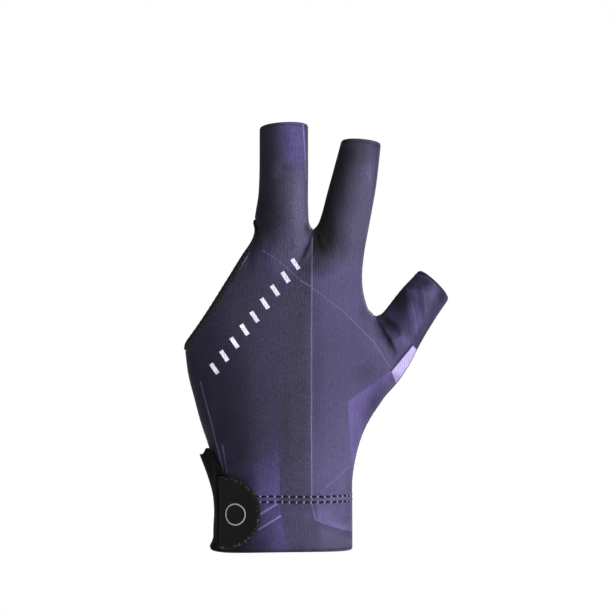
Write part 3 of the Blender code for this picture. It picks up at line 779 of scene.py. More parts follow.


# Print colours, linear. LIT is a lit copy of FIELD, laid only as painted light; DUSK and CHARCOAL are also laid as
# painted shade.
DEEP = (0.0150, 0.0128, 0.0275)
DUSK = (0.0300, 0.0262, 0.0490)
VIOLET = (0.0420, 0.0362, 0.0770)
BAND = (0.0440, 0.0392, 0.0720)
FIELD = (0.0800, 0.0668, 0.1460)
LIT = (0.0980, 0.0815, 0.1760)
FACET = (0.1180, 0.0930, 0.2450)
VIVID = (0.0910, 0.0710, 0.2080)
LOW_BAND = (0.0620, 0.0535, 0.1080)
LOW_RIGHT = (0.0860, 0.0760, 0.1430)
HEM_FIELD = (0.1180, 0.1000, 0.2280)
FINGER_GREY = (0.0780, 0.0690, 0.1260)
CHARCOAL = (0.0145, 0.0136, 0.0152)
UMBER = (0.0160, 0.0134, 0.0158)
THUMB = (0.0430, 0.0350, 0.0860)
LAVENDER = (0.46, 0.39, 0.70)
PALE = (0.76, 0.75, 0.84)
LINE = (0.150, 0.125, 0.275)
BRIGHT_LINE = (0.26, 0.23, 0.46)
BLACK = (0.006, 0.006, 0.007)
PALM_BASE = (0.026, 0.0225, 0.043)
PALM_LIGHT = (0.050, 0.043, 0.085)

# Narrow creases, each a line from (x1, z1) to (x2, z2) in the tables' millimetres, bowed to its left.
Crease = namedtuple("Crease", "x1 z1 x2 z2 width rise bow fade")
BACK_CREASES = [
    # drawn together at the web of the middle finger and forefinger
    Crease(13.3, 142.4, 7.6, 130.4, 1.0, -1.15, 0.4, 0.16), Crease(13.4, 141.6, 10.6, 132.0, 0.8, 0.75, 0.5, 0.2),
    Crease(14.2, 141.2, 12.6, 131.5, 0.8, -0.65, 0.3, 0.2), Crease(15.6, 142.6, 17.2, 133.0, 0.95, -0.75, -0.3, 0.2),
    Crease(17.0, 142.6, 20.4, 134.0, 0.9, 0.35, -0.3, 0.2), Crease(17.6, 143.4, 22.6, 136.4, 0.9, -0.60, -0.4, 0.2),
    Crease(19.0, 145.4, 24.6, 140.0, 1.0, -0.30, -0.4, 0.2),
    # drawn together at the root of the thumb
    Crease(41.9, 103.8, 49.9, 88.4, 1.05, -1.75, 0.5, 0.12), Crease(45.0, 103.8, 51.9, 97.5, 1.6, -1.70, 0.2, 0.16),
    Crease(43.6, 103.2, 50.6, 91.8, 1.0, 0.70, 0.4, 0.15), Crease(52.6, 98.6, 53.6, 91.6, 1.2, 0.45, 0.3, 0.2),
    Crease(40.2, 103.4, 46.6, 90.0, 1.5, 0.45, 0.5, 0.2), Crease(49.0, 108.0, 57.0, 101.0, 1.6, -0.35, 0.5, 0.25),
    # across the fingers, over the joints
    Crease(-8.6, 175.0, 10.4, 174.2, 1.8, -0.28, 0.4, 0.12), Crease(-8.0, 170.6, 10.0, 170.2, 1.5, 0.14, 0.4, 0.12),
    Crease(23.8, 168.6, 40.6, 165.8, 1.8, -0.22, 0.4, 0.12), Crease(57.6, 112.0, 69.6, 98.0, 1.6, -0.25, 0.5, 0.12),
    # round the wrist and at the hem's thumb side
    Crease(-26, 35.0, 12.0, 33.0, 2.6, -0.20, 0.8, 0.2), Crease(4.0, 47.0, 30.0, 49.0, 3.0, -0.22, -0.8, 0.2),
    Crease(18.0, 6.4, 30.0, 5.2, 0.9, -0.22, 0.3, 0.2), Crease(20.0, 4.2, 31.0, 3.4, 0.8, 0.18, 0.3, 0.2),
    Crease(17.0, 9.0, 29.0, 8.2, 0.9, 0.16, 0.3, 0.2), Crease(30.5, 12.0, 31.3, 2.0, 1.0, 0.22, 0.0, 0.2),
]  # fmt: skip
PALM_CREASES = [
    # the palm's own lines, where the fabric bends with the hand
    Crease(-34, 96.0, 22, 118.0, 1.9, -0.55, -3.0, 0.12), Crease(34, 104.0, 2, 60.0, 2.0, -0.60, -7.0, 0.12),
    Crease(37, 100.0, -20, 84.0, 1.8, -0.45, 4.0, 0.12), Crease(2, 60.0, -4, 36.0, 1.8, -0.35, -1.5, 0.2),
    Crease(41.5, 103.5, 47.5, 90.0, 1.2, -1.10, -0.8, 0.14), Crease(44.0, 104.0, 52.0, 97.0, 1.3, -0.80, -0.5, 0.16),
    Crease(13.9, 143.0, 12.8, 131.0, 1.1, -0.80, 0.4, 0.16), Crease(15.6, 142.6, 18.4, 132.0, 1.0, -0.55, -0.3, 0.2),
    Crease(-9.2, 152.0, 11.0, 151.0, 1.5, -0.40, 0.3, 0.12), Crease(-9.0, 172.0, 10.6, 171.6, 1.4, -0.35, 0.3, 0.12),
    Crease(19.5, 150.6, 38.2, 150.0, 1.5, -0.35, 0.3, 0.12), Crease(24.0, 168.6, 41.0, 167.6, 1.4, -0.30, 0.3, 0.12),
    Crease(56.0, 112.0, 68.0, 98.0, 1.5, -0.35, 0.5, 0.12), Crease(-27, 33.0, 28, 33.0, 1.8, -0.30, 1.0, 0.12),
    Crease(-26, 38.5, 26, 39.0, 2.2, -0.22, -1.0, 0.15),
]  # fmt: skip

# Broad soft painted shade and painted light laid over the print's colour, partly the print's own gradients, sized in
# the photograph's pixels: how dark (below 1) or light.
Shade = namedtuple("Shade", "x y wide high core by")
PAINTED_SHADE_AND_LIGHT = [
    # the middle finger
    Shade(262, 160, 22, 60, 0.20, 0.80), Shade(266, 214, 22, 34, 0.20, 0.60), Shade(262, 246, 16, 22, 0.20, 0.84),
    Shade(300, 205, 11, 50, 0.20, 1.40), Shade(276, 169, 8, 14, 0.20, 1.50), Shade(284, 212, 9, 30, 0.2, 0.84),
    Shade(284, 142, 9, 30, 0.2, 0.78), Shade(288, 166, 12, 7, 0.2, 0.78), Shade(283, 180, 7, 20, 0.2, 0.90), Shade(286, 180, 26, 80, 0.4, 0.93),
    Shade(268, 134, 6, 8, 0.2, 1.15), Shade(307, 227, 4, 7, 0.3, 0.55), Shade(307, 240, 5, 8, 0.2, 1.25),
    Shade(297, 239, 9, 12, 0.2, 1.10), Shade(264, 240, 9, 16, 0.2, 1.20),
    # the forefinger
    Shade(332, 196, 20, 62, 0.10, 0.62), Shade(346, 158, 16, 36, 0.10, 0.62), Shade(372, 160, 9, 34, 0.2, 1.22),
    Shade(350, 188, 16, 46, 0.2, 0.78), Shade(342, 242, 13, 30, 0.2, 0.70), Shade(331, 222, 10, 26, 0.2, 0.70),
    Shade(341, 184, 7, 36, 0.2, 0.72), Shade(362, 172, 8, 16, 0.2, 0.86), Shade(350, 154, 9, 16, 0.2, 0.86),
    # the web between them
    Shade(320, 240, 16, 22, 0.25, 0.62), Shade(308, 252, 7, 12, 0.2, 0.66), Shade(322, 265, 22, 18, 0.2, 0.58),
    Shade(306, 268, 12, 14, 0.2, 0.84), Shade(252, 256, 7, 26, 0.2, 0.58), Shade(316, 254, 6, 18, 0.2, 0.66),
    Shade(323, 234, 5, 9, 0.2, 0.66), Shade(332, 253, 6, 10, 0.2, 0.70),
    # the thumb and its root
    Shade(374, 340, 20, 24, 0.2, 1.14), Shade(386, 322, 9, 10, 0.3, 0.40), Shade(394, 327, 9, 9, 0.3, 0.42),
    Shade(400, 314, 14, 14, 0.3, 0.50), Shade(404, 299, 16, 18, 0.3, 0.44), Shade(420, 282, 15, 13, 0.3, 0.60),
    Shade(405, 340, 13, 14, 0.1, 1.40), Shade(424, 322, 12, 16, 0.3, 1.22), Shade(384, 332, 4, 9, 0.2, 0.66),
    Shade(390, 345, 4, 10, 0.2, 0.60), Shade(394, 356, 4, 8, 0.2, 0.74),
    Shade(435, 291, 9, 15, 0.2, 1.55), Shade(419, 302, 6, 12, 0.2, 0.84), Shade(364, 312, 9, 12, 0.2, 0.80),
    Shade(443, 297, 6, 9, 0.3, 0.55), Shade(410, 314, 26, 24, 0.3, 0.84), Shade(396, 354, 8, 10, 0.2, 1.12), Shade(396, 379, 9, 10, 0.2, 0.70),
    # the palm's field, its facet and the thumb's side of the wrist
    Shade(352, 292, 20, 36, 0.2, 0.92), Shade(368, 408, 18, 30, 0.2, 0.80), Shade(368, 424, 10, 28, 0.2, 0.70),
    Shade(351, 505, 9, 46, 0.2, 0.78), Shade(320, 360, 10, 50, 0.2, 0.90), Shade(364, 374, 22, 16, 0.2, 0.88),
    Shade(286, 420, 7, 60, 0.2, 0.84), Shade(300, 476, 9, 36, 0.2, 1.12), Shade(342, 512, 18, 18, 0.2, 0.80),
    Shade(342, 412, 12, 30, 0.2, 1.08), Shade(314, 452, 8, 24, 0.2, 1.08), Shade(332, 344, 18, 26, 0.2, 0.90), Shade(340, 300, 30, 50, 0.3, 0.95),
    # the little-finger side and round the tab
    Shade(236, 412, 34, 56, 0.2, 0.86), Shade(232, 322, 26, 36, 0.2, 1.20), Shade(206, 336, 12, 22, 0.2, 0.82),
    Shade(246, 456, 17, 30, 0.2, 0.76), Shade(262, 476, 26, 40, 0.2, 0.82), Shade(248, 482, 14, 16, 0.3, 0.60),
    Shade(248, 520, 20, 42, 0.3, 0.52), Shade(222, 454, 10, 18, 0.2, 1.40), Shade(206, 456, 9, 26, 0.3, 0.6),
    Shade(232, 424, 18, 26, 0.2, 0.86), Shade(229, 474, 7, 12, 0.2, 1.45), Shade(212, 420, 9, 40, 0.2, 1.12),
    Shade(264, 428, 34, 60, 0.2, 0.92), Shade(206, 378, 8, 30, 0.2, 0.90),
    # the hem
    Shade(248, 548, 28, 14, 0.4, 0.55), Shade(300, 551, 90, 7, 0.3, 0.76), Shade(268, 524, 30, 30, 0.2, 0.80),
    Shade(296, 505, 70, 8, 0.3, 0.80), Shade(330, 530, 22, 10, 0.3, 1.20), Shade(300, 530, 24, 18, 0.3, 0.86), Shade(290, 516, 18, 14, 0.3, 0.90),
    Shade(276, 528, 10, 12, 0.2, 1.18), Shade(264, 542, 12, 12, 0.2, 0.82), Shade(266, 532, 16, 24, 0.3, 0.78),
    Shade(345, 521, 9, 8, 0.2, 0.82), Shade(262, 522, 26, 36, 0.3, 0.90), Shade(244, 484, 8, 14, 0.2, 0.84),
    # small corrections
    Shade(344, 160, 8, 20, 0.2, 0.84), Shade(331, 226, 8, 14, 0.2, 0.88), Shade(258, 243, 6, 14, 0.3, 0.74),
    Shade(430, 284, 10, 10, 0.3, 0.70), Shade(408, 297, 10, 10, 0.3, 0.76), Shade(366, 372, 16, 14, 0.2, 0.91),
    Shade(318, 262, 8, 10, 0.2, 0.86), Shade(374, 405, 7, 11, 0.2, 0.74), Shade(357, 438, 6, 22, 0.2, 0.84),
    Shade(240, 388, 14, 30, 0.2, 0.93), Shade(268, 388, 12, 30, 0.2, 0.94), Shade(300, 546, 18, 10, 0.2, 0.82),
]  # fmt: skip

# The generic row of pale bars, in the photograph's pixels.
BARS, BAR_FROM, BAR_TO = 9, (295.5, 264), (214, 369)

# The hem's two rows of stitches, and the light.
STITCH_ROWS = ((26.6, 26.0), (24.2, 23.5))  # heights on the little-finger side and on the thumb side
STITCH_PITCH = 3.2
EDGING_OFF = -0.45
CREASE_X = -29.5
KEY, FRONT, BACK, FILL = 19.0, 3.0, 14.0, 0.22
FLOOR_Z = -0.12


def knit(look, wale=1.07, depth=0.05):
    """The ribs and loops of stretch knit: sets the bump, and returns the shade that the ribs give."""
    u, v = look.cloth()
    drift = look.noise(0.028, 1.0) * 6.0 + look.noise(0.11, 0.0) * 0.8
    ribs = ((u + drift) * (2 * np.pi / wale)).sin()
    courses = ((v + drift) * (2 * np.pi / 0.62)).sin()
    loops = look.noise_uv(u * 2.6, v * 3.4, 2.0)
    fade = look.noise(0.045, 1.0).step(0.35, 0.62)
    sleeves = look.z.step(110, 126)
    fade = fade.most(sleeves * 0.6)
    slow = ((u + drift * 1.3) * (2 * np.pi / 2.0)).sin() * (look.noise(0.07, 1.0).step(0.3, 0.6) * (sleeves * 0.055 + 0.025))
    look.raise_by(ribs * (fade * (depth * 0.60) + depth * 0.14) + courses * (depth * 0.15) + loops * (depth * 1.2))
    return ribs * (fade * 0.085 + 0.030) + slow + (loops - 0.5) * 0.26 + courses * 0.01


def blob(x, z, centre, wide, high, core=0.25):
    """1 in the middle of a soft-edged ellipse and 0 outside it, sized in the photograph's pixels."""
    cx, cz = at(*centre)
    k = PIXEL * (CAMERA_AWAY - BACK_DEPTH) / CAMERA_AWAY
    return grouped(in_ellipse, x, z, cx, cz, 1 / (wide * k), 1 / (high * k), core)


def printed_fabric():
    """The back panel: stretch knit with a print of violet and charcoal facets and thin pale lines, with painted shade
    and painted light laid over the print.
    """
    look = Look("printed_fabric", DEEP, 0.7, Sheen_Weight=0.02, Sheen_Roughness=0.5, Specular_IOR_Level=0.13)
    wobble = (look.noise(0.09, 1.0) - 0.5) * 0.5
    x, z = look.x + wobble, look.z + wobble

    def block(colour, strength, soft, *corners):
        look.paint(polygon(x, z, many(*corners), soft), colour, strength)

    def glow(colour, strength, centre, wide, high, core=0.25):
        look.paint(blob(x, z, centre, wide, high, core), colour, strength)

    def across(a, b, low, high):
        """0 to 1 over the distances low to high in millimetres, to the right of the line up from a to b."""
        return (half_plane(x, z, at(*a), at(*b)) * -1.0).step(low, high)

    def line(colour, strength, width, *corners):
        for a, b in zip(corners, corners[1:]):
            look.paint(segment(x, z, at(*a), at(*b), width), colour, strength)

    # the little-finger side stays nearly black, and turns violet over a soft slanting edge
    look.paint(across((232, 440), (212, 250), -4, 16), DUSK)
    look.paint(across((240, 560), (238, 250), 0, 16), VIOLET)
    glow(VIVID, 0.95, (274, 506), 50, 78, 0.1)
    # painted light: a soft lighter pool below the middle finger's root
    glow(LIT, 0.45, (284, 262), 20, 26)
    # the charcoal band up the middle, and the lighter field on its thumb side
    block(BAND, 0.9, 1.0, (279.5, 500), (311.5, 500), (311.5, 266), (296, 280), (279.5, 300))
    block(LOW_BAND, 0.8, 0.8, (279.5, 500), (289, 560), (315, 560), (315, 519), (311.5, 500))
    block(LOW_BAND, 0.8, 0.4, (314.8, 519), (314.8, 562), (380, 562), (380, 546), (352, 535))
    block(FIELD, 1.0, 0.5, (311.5, 505), (315, 519), (345, 531), (380, 545), (380, 240), (311.5, 240))
    block(FIELD, 1.0, 1.0, (352, 430), (460, 400), (460, 250), (380, 240), (330, 240), (330, 430))
    block(VIOLET, 0.35, 5.0, (310.5, 470), (310.5, 252), (321, 252), (321, 470))
    look.paint(look.x.step(7.5, 11.2) * (1.0 - look.x.step(11.9, 12.2)) * (1.0 - look.z.step(100, 122)), FIELD, 0.28)
    # painted light: two soft lighter pools over the field, high and low on its thumb side
    glow(LIT, 0.75, (352, 285), 46, 52)
    glow(LIT, 0.75, (345, 470), 44, 66)
    block(HEM_FIELD, 0.9, 1.2, (316, 500), (318, 520), (346, 531), (380, 545), (380, 490))
    block(LOW_RIGHT, 0.55, 4.0, (318, 562), (322, 529), (345, 537), (380, 549), (380, 562))
    block(FACET, 1.0, 0.5, (346, 403), (350, 440), (352, 474), (380, 560), (440, 470), (399, 384), (391, 371))
    glow(THUMB, 0.85, (384, 404), 22, 40, 0.15)
    # the middle finger: violet at its top, greyer below, with its side strip past a thin line
    look.paint(look.z.step(134, 146) * (1.0 - look.x.step(-4, 6)), UMBER, 0.62)
    look.paint(across((272, 262), (276, 110), -3.0, 12.0) * look.z.step(126, 136), FINGER_GREY, 0.97)
    look.paint(blob(x, z, (296, 135), 24, 48, 0.3), VIVID, 0.8)
    look.paint(across((306.5, 230), (304.4, 110), 0, 0.5) * look.z.step(143, 147) * (look.x * -1.0).step(-11.5, -11), DUSK, 0.7)
    # the forefinger: charcoal on its inner side
    finger = across((320, 262), (341, 128), -3, 12.5)
    look.paint(look.z.step(133, 141) * look.x.step(11.5, 14), FINGER_GREY, 0.95)
    look.paint((1.0 - finger) * look.z.step(128, 139) * look.x.step(11.8, 13.5), CHARCOAL, 0.97)
    # painted shade in the web between the middle finger and the forefinger
    glow(CHARCOAL, 0.75, (322, 238), 20, 24)
    glow(CHARCOAL, 0.45, (362, 148), 24, 26)
    # the thumb: dark, with violet streaks along it
    thumb_side = (half_plane(x, z, at(372, 322), at(396, 366))).step(-1.5, 3.5) * look.x.step(38, 42)
    look.paint(thumb_side, THUMB, 0.95)
    # painted shade on the thumb's upper edge, which faces away from the light, and in the crease at its root
    glow(DUSK, 0.9, (400, 292), 26, 22)
    glow(DUSK, 0.5, (384, 330), 13, 18)
    block(VIVID, 0.55, 1.6, (406, 292), (417, 288), (424, 322), (414, 338))
    block(FIELD, 0.45, 1.6, (424, 284), (437, 286), (432, 312), (426, 322))
    block(FIELD, 0.55, 4.0, (389, 344), (402, 334), (414, 342), (391, 372), (384, 364))
    block(LAVENDER, 1.0, 0.4, (392.1, 372.1), (397, 383.5), (412, 392), (430, 362), (414.1, 346.1))
    line(BLACK, 0.5, 0.6, (390.5, 371.5), (413.0, 344.5))
    line(LINE, 0.30, 0.9, (409, 287), (412.5, 301), (415, 311))
    line(LINE, 0.34, 0.8, (415, 311), (417, 322), (417.5, 335))
    line(LINE, 0.22, 0.8, (423, 285), (426.5, 299), (428, 312))
    # the cut rims, darker than the cloth behind them
    line(BLACK, 0.55, 1.0, (414, 271), (430, 275), (439, 283), (446, 292.5), (448, 300))
    line(LINE, 0.25, 0.5, (418, 273.5), (429, 277.5), (437, 285))
    line(BLACK, 0.35, 0.7, (257, 128.6), (264, 125.6), (276, 123.6), (290, 122.6), (309, 124))
    line(BLACK, 0.40, 0.7, (340, 141.5), (350, 139.8), (364, 140.2), (382, 144.2))
    line(BLACK, 0.45, 1.2, (448, 300), (436, 316), (425, 336), (418, 349))
    block(THUMB, 0.8, 1.5, (441, 300), (447, 293), (452, 300), (436, 320), (430, 316))
    # thin pale lines
    line(BRIGHT_LINE, 0.45, 0.55, (312.4, 236), (311.6, 300), (311.4, 400), (311.8, 505))
    line(BRIGHT_LINE, 0.35, 0.5, (311.8, 505), (315, 519), (325, 523.5))
    line(BRIGHT_LINE, 0.18, 0.5, (325, 523.5), (345, 531))
    line(LINE, 0.45, 0.45, (262, 250), (280, 262), (300, 280))
    line(LINE, 0.70, 0.5, (300, 280), (320, 293), (345, 313), (375, 343), (390, 367))
    line(LINE, 0.50, 0.5, (200, 382), (223.8, 475))
    line(LINE, 0.35, 0.45, (222, 445), (226.7, 473))
    line(BRIGHT_LINE, 1.0, 0.75, (260.0, 513.6), (278, 502.8))
    line(BRIGHT_LINE, 1.0, 0.85, (258.6, 528.8), (281, 514.8))
    line(LINE, 0.75, 0.5, (350, 467), (335, 480), (325, 488))
    line(BRIGHT_LINE, 0.7, 0.45, (303.4, 122), (304.2, 140), (305.4, 158))
    line(BRIGHT_LINE, 0.45, 0.35, (305.4, 158), (306.2, 178))
    line(LINE, 0.3, 0.4, (360, 164), (368, 172), (374, 184))
    line(BRIGHT_LINE, 0.65, 0.5, (249.5, 250), (246, 258), (234, 275.5), (214, 304))
    line(LINE, 0.5, 0.45, (216, 302), (200, 324))
    # a generic row of plain pale bars runs down to the little-finger side
    for k in range(BARS):
        t = k / (BARS - 1)
        cx, cy = BAR_FROM[0] + (BAR_TO[0] - BAR_FROM[0]) * t, BAR_FROM[1] + (BAR_TO[1] - BAR_FROM[1]) * t
        look.paint(segment(x, z, at(cx - 3.4, cy - 5.0), at(cx + 3.4, cy + 5.0), 1.9, 0.25), PALE, 0.92)
    shade = knit(look)
    fleck = (look.noise(1.15, 2.0) - 0.5) * 0.95 + (look.noise(0.5, 1.0) - 0.5) * 0.24
    patchy = (look.noise(0.06, 3.0) - 0.5) * 0.30
    fleck = fleck * (1.22 - look.x.step(10, 13) * 0.46) * (0.78 + look.z.step(20, 30) * 0.22)
    # the tone layer multiplies in the painted shade and painted light of the shades table
    depth = (1.0 + shade + patchy + fleck) * (look.cloth("tone")[0] * 0.01)
    # the turned hem: a fine dark line along its fold, painted shade in the groove pressed in there; the sleeves' rims
    # get their dark lines above
    hem = (look.z - 2.0 - (look.x + 30) * 0.012).do("ABSOLUTE")
    depth = depth * (1.0 - (1.0 - hem.step(0.15, 0.55)) * 0.35)
    look.dim(depth)
    look.raise_by(hem.step(0.0, 0.7) * 0.22)
    stitch_dents(look)
    return look.finish(look.noise(0.5, 2.0) * 0.12 + 0.66)


def stitch_dents(look):
    """The fabric is drawn in along the hem's two rows of stitches, and rides up a little between them."""
    for left, right in STITCH_ROWS:
        away = (look.z - left - (look.x + 30) * ((right - left) / 61)).do("ABSOLUTE")
        look.raise_by(away.step(0.0, 0.75) * 0.16)


def palm_fabric():
    """The palm panel: the same knit in a darker, plainer tone, with broad soft facets."""
    look = Look("palm_fabric", PALM_BASE, 0.72, Sheen_Weight=0.03, Sheen_Roughness=0.5, Specular_IOR_Level=0.14)
    x, z = look.x, look.z
    look.paint(half_plane(x, z, (22, 0), (2, 140)).step(-0.3, 0.3), PALM_LIGHT, 0.55)
    look.paint(polygon(x, z, [(-32, 0), (-6, 0), (10, 62), (-30, 92), (-60, 92)], 0.5), PALM_LIGHT, 0.4)
    look.paint(polygon(x, z, [(36, 62), (80, 110), (66, 128), (44, 100), (22, 88)], 0.5), FIELD, 0.5)
    for a, b in (((22, 0), (2, 140)), ((-6, 0), (10, 62)), ((10, 62), (-30, 92)), ((22, 88), (44, 100))):
        look.paint(segment(x, z, a, b, 0.5), LINE, 0.55)
    shade = knit(look)
    look.dim(1.0 + shade + (look.noise(0.06, 3.0) - 0.5) * 0.3 + (look.noise(1.15, 2.0) - 0.5) * 0.5)
    stitch_dents(look)
    return look.finish(look.noise(0.5, 2.0) * 0.12 + 0.64)


def reverse_fabric():
    """The unprinted inside of the knit: pale, and loopier than the face."""
    look = Look("fabric_reverse", (0.30, 0.285, 0.36), 0.85, Sheen_Weight=0.2, Sheen_Roughness=0.6)
    u, v = look.cloth()
    loops = look.noise_uv(u * 2.2, v * 4.0, 3.0)
    look.raise_by(loops * 0.10 + (u * (2 * np.pi / 1.07)).sin() * 0.03)
    look.dim(0.86 + loops * 0.28)
    return look.finish()


def black_cloth(name, colour, kind, shine=0.12):
    """Black narrow goods: the elastic edging, the brushed strap and the hook tab."""
    look = Look(name, colour, 0.85, Sheen_Weight=0.01, Sheen_Roughness=0.55, Specular_IOR_Level=shine)
    if kind == "elastic":
        u, v = look.cloth()
        ribs = (u * (2 * np.pi / 0.85)).sin()
        across = (v * (2 * np.pi / 0.6)).sin()
        fuzz = look.noise(2.2, 3.0)
        look.raise_by(ribs * 0.035 + across * 0.02 + fuzz * 0.05)
        look.dim(0.8 + fuzz * 0.5 + ribs * 0.12)
    elif kind == "brushed":
        fuzz = look.noise(1.6, 4.0, (1, 1, 0.7))
        broad = look.noise(0.12, 2.0)
        look.raise_by(fuzz * 0.14 + broad * 0.25)
        look.dim(0.55 + fuzz * 0.75 + broad * 0.3)
    else:
        u, v = look.cloth()
        fuzz = look.noise(2.4, 4.0)
        hooks = (u * (2 * np.pi / 1.3)).sin() * (v * (2 * np.pi / 1.1)).sin()
        broad = look.noise(0.2, 2.0)
        look.raise_by(fuzz * 0.16 + hooks * 0.02 + broad * 0.15)
        # painted highlight along the fold at the tab's seam end, and painted shade over its round end
        fold_highlight = 1.0 - u.step(10.2, 12.5)
        look.dim((0.5 + fuzz * 0.9 + broad * 0.3) * (1.0 + fold_highlight * 0.16 - u.step(14, 25) * 0.40))
    return look.finish()


def thread(name, colour, roughness=0.6, flecks=None):
    look = Look(name, colour, roughness, Sheen_Weight=0.03, Sheen_Roughness=0.4, Specular_IOR_Level=0.2)
    if flecks:
        look.paint(look.noise(0.75, 1.0).step(0.57, 0.64), flecks, 0.8)
    twist = ((look.x + look.z) * (2 * np.pi / 0.34)).sin()
    look.raise_by(twist * 0.02)
    look.dim(0.92 + twist * 0.1 + (look.noise(1.5, 2.0) - 0.5) * 0.4)
    return look.finish()


# ==== the panels ====================================================================================
def panel(name, layout, half, side, looks):
    points = surface(layout, half, side)
    faces = layout.quads if side < 0 else layout.quads[:, ::-1]
    wall = HEM_WALL + (WALL - HEM_WALL) * ease((layout.xz[:, 1] - HEM_HEIGHT) / 6.5 + 0.5)
    inner = inner_face(layout, points, faces, wall, side)
    n = len(points)
    rim = [(b, a, a + n, b + n) for a, b in open_edges(faces)]
    slots = [0] * len(faces) + [1] * len(faces) + [0] * len(rim)
    obj = new_mesh(name, np.concatenate([points, inner]), [*faces, *(faces[:, ::-1] + n), *rim], looks, slots)
    uv = along_cloth(layout, points) / 100
    set_uv(obj, np.concatenate([uv, uv]))
    set_uv(obj, np.tile(np.stack([half, half], 1), (2, 1)), "half")
    set_uv(obj, np.tile(layout.xz, (2, 1)), "table")
    soften(obj)
    settle(obj)
    press_folds(obj, side)
    if side < 0:
        lay_shades(obj)
    return obj, points, faces


def lay_shades(obj):
    """The painted shade and painted light of the shades table, partly the print's own gradients, worked out at each
    vertex, as a UV layer's first number.
    """
    points = np.empty(3 * len(obj.data.vertices), np.float32)
    obj.data.vertices.foreach_get("co", points)
    x, z = points.reshape(-1, 3)[:, [0, 2]].T * 1000.0
    k = PIXEL * (CAMERA_AWAY - BACK_DEPTH) / CAMERA_AWAY
    depth = np.ones(len(x))
    for shade in PAINTED_SHADE_AND_LIGHT:
        cx, cz = at(shade.x, shade.y)
        away = np.hypot((x - cx) / (shade.wide * k), (z - cz) / (shade.high * k))
        depth *= 1 + (1 - ease((away - shade.core) / (1 - shade.core))) * (shade.by - 1)
    set_uv(obj, np.stack([depth, depth * 0], 1), "tone")


def press_folds(obj, side):
    """Presses the narrow creases into the subdivided cloth, both faces of it together."""
    depth, (x, z) = at_vertices(obj, "half")[:, 0], at_vertices(obj, "table").T
    for layer in ("half", "table"):
        obj.data.uv_layers.remove(obj.data.uv_layers[layer])
    rise = np.zeros(len(x))
    for fold in BACK_CREASES if side < 0 else PALM_CREASES:
        dx, dz = fold.x2 - fold.x1, fold.z2 - fold.z1
        size = np.hypot(dx, dz)
        along = ((x - fold.x1) * dx + (z - fold.z1) * dz) / size**2
        bow = fold.bow * 4 * np.clip(along, 0, 1) * (1 - np.clip(along, 0, 1))
        across = ((z - fold.z1) * dx - (x - fold.x1) * dz) / size - bow
        ends = ease((along + fold.fade) / (2 * fold.fade)) * ease((1 + fold.fade - along) / (2 * fold.fade))
        rise += fold.rise * ends * np.exp(-((across / fold.width) ** 2))
    rise *= np.clip((depth - 0.6) / 4.0, 0, 1)
    points = np.empty(3 * len(x), np.float32)
    obj.data.vertices.foreach_get("co", points)
    points = points.reshape(-1, 3)
    points[:, 1] += side * rise * MM
    obj.data.vertices.foreach_set("co", points.ravel())
    obj.data.update()


def seam_paths(layout):
    """The lines where the panels meet, each as pairs of (point on the line, its neighbour inside)."""
    p, m = layout.index, FINGER_CELLS
    corner, web = ROWS_TO_THUMB + ROWS_TO_CORNER, ROWS_TO_THUMB + FINGER_CELLS
    top = web + ROWS_TO_FINGERS
    rows = SLEEVE_ROWS

    def side(name, row_list, c, inside):
        return [(p[name, r, c], p[name, r, inside]) for r in row_list]

    up = lambda name: range(1, rows[name] + 1)
    down = lambda name: range(rows[name], 0, -1)
    return [
        side("palm", range(corner + 1), 0, 1),
        side("palm", range(ROWS_TO_THUMB + 1), PALM_CELLS, PALM_CELLS - 1) + side("thumb", up("thumb"), 0, 1),
        side("thumb", down("thumb"), m, m - 1) + side("palm", range(web, top + 1), PALM_CELLS, PALM_CELLS - 1)
        + side("index", up("index"), m, m - 1),
        side("index", down("index"), 0, 1) + [(p["palm", top, m], p["palm", top - 1, m])] + side("middle", up("middle"), m, m - 1),
        side("palm", [top], 0, 1) + side("middle", up("middle"), 0, 1),
    ]  # fmt: skip


def resample(line, step):
    """(points, distance) of an open line at even steps."""
    length = np.concatenate([[0], np.cumsum(np.linalg.norm(np.diff(line, axis=0), axis=1))])
    count = max(3, int(round(length[-1] / step)) + 1)
    want = np.linspace(0, length[-1], count)
    return np.stack([np.interp(want, length, line[:, k]) for k in range(line.shape[1])], 1), want


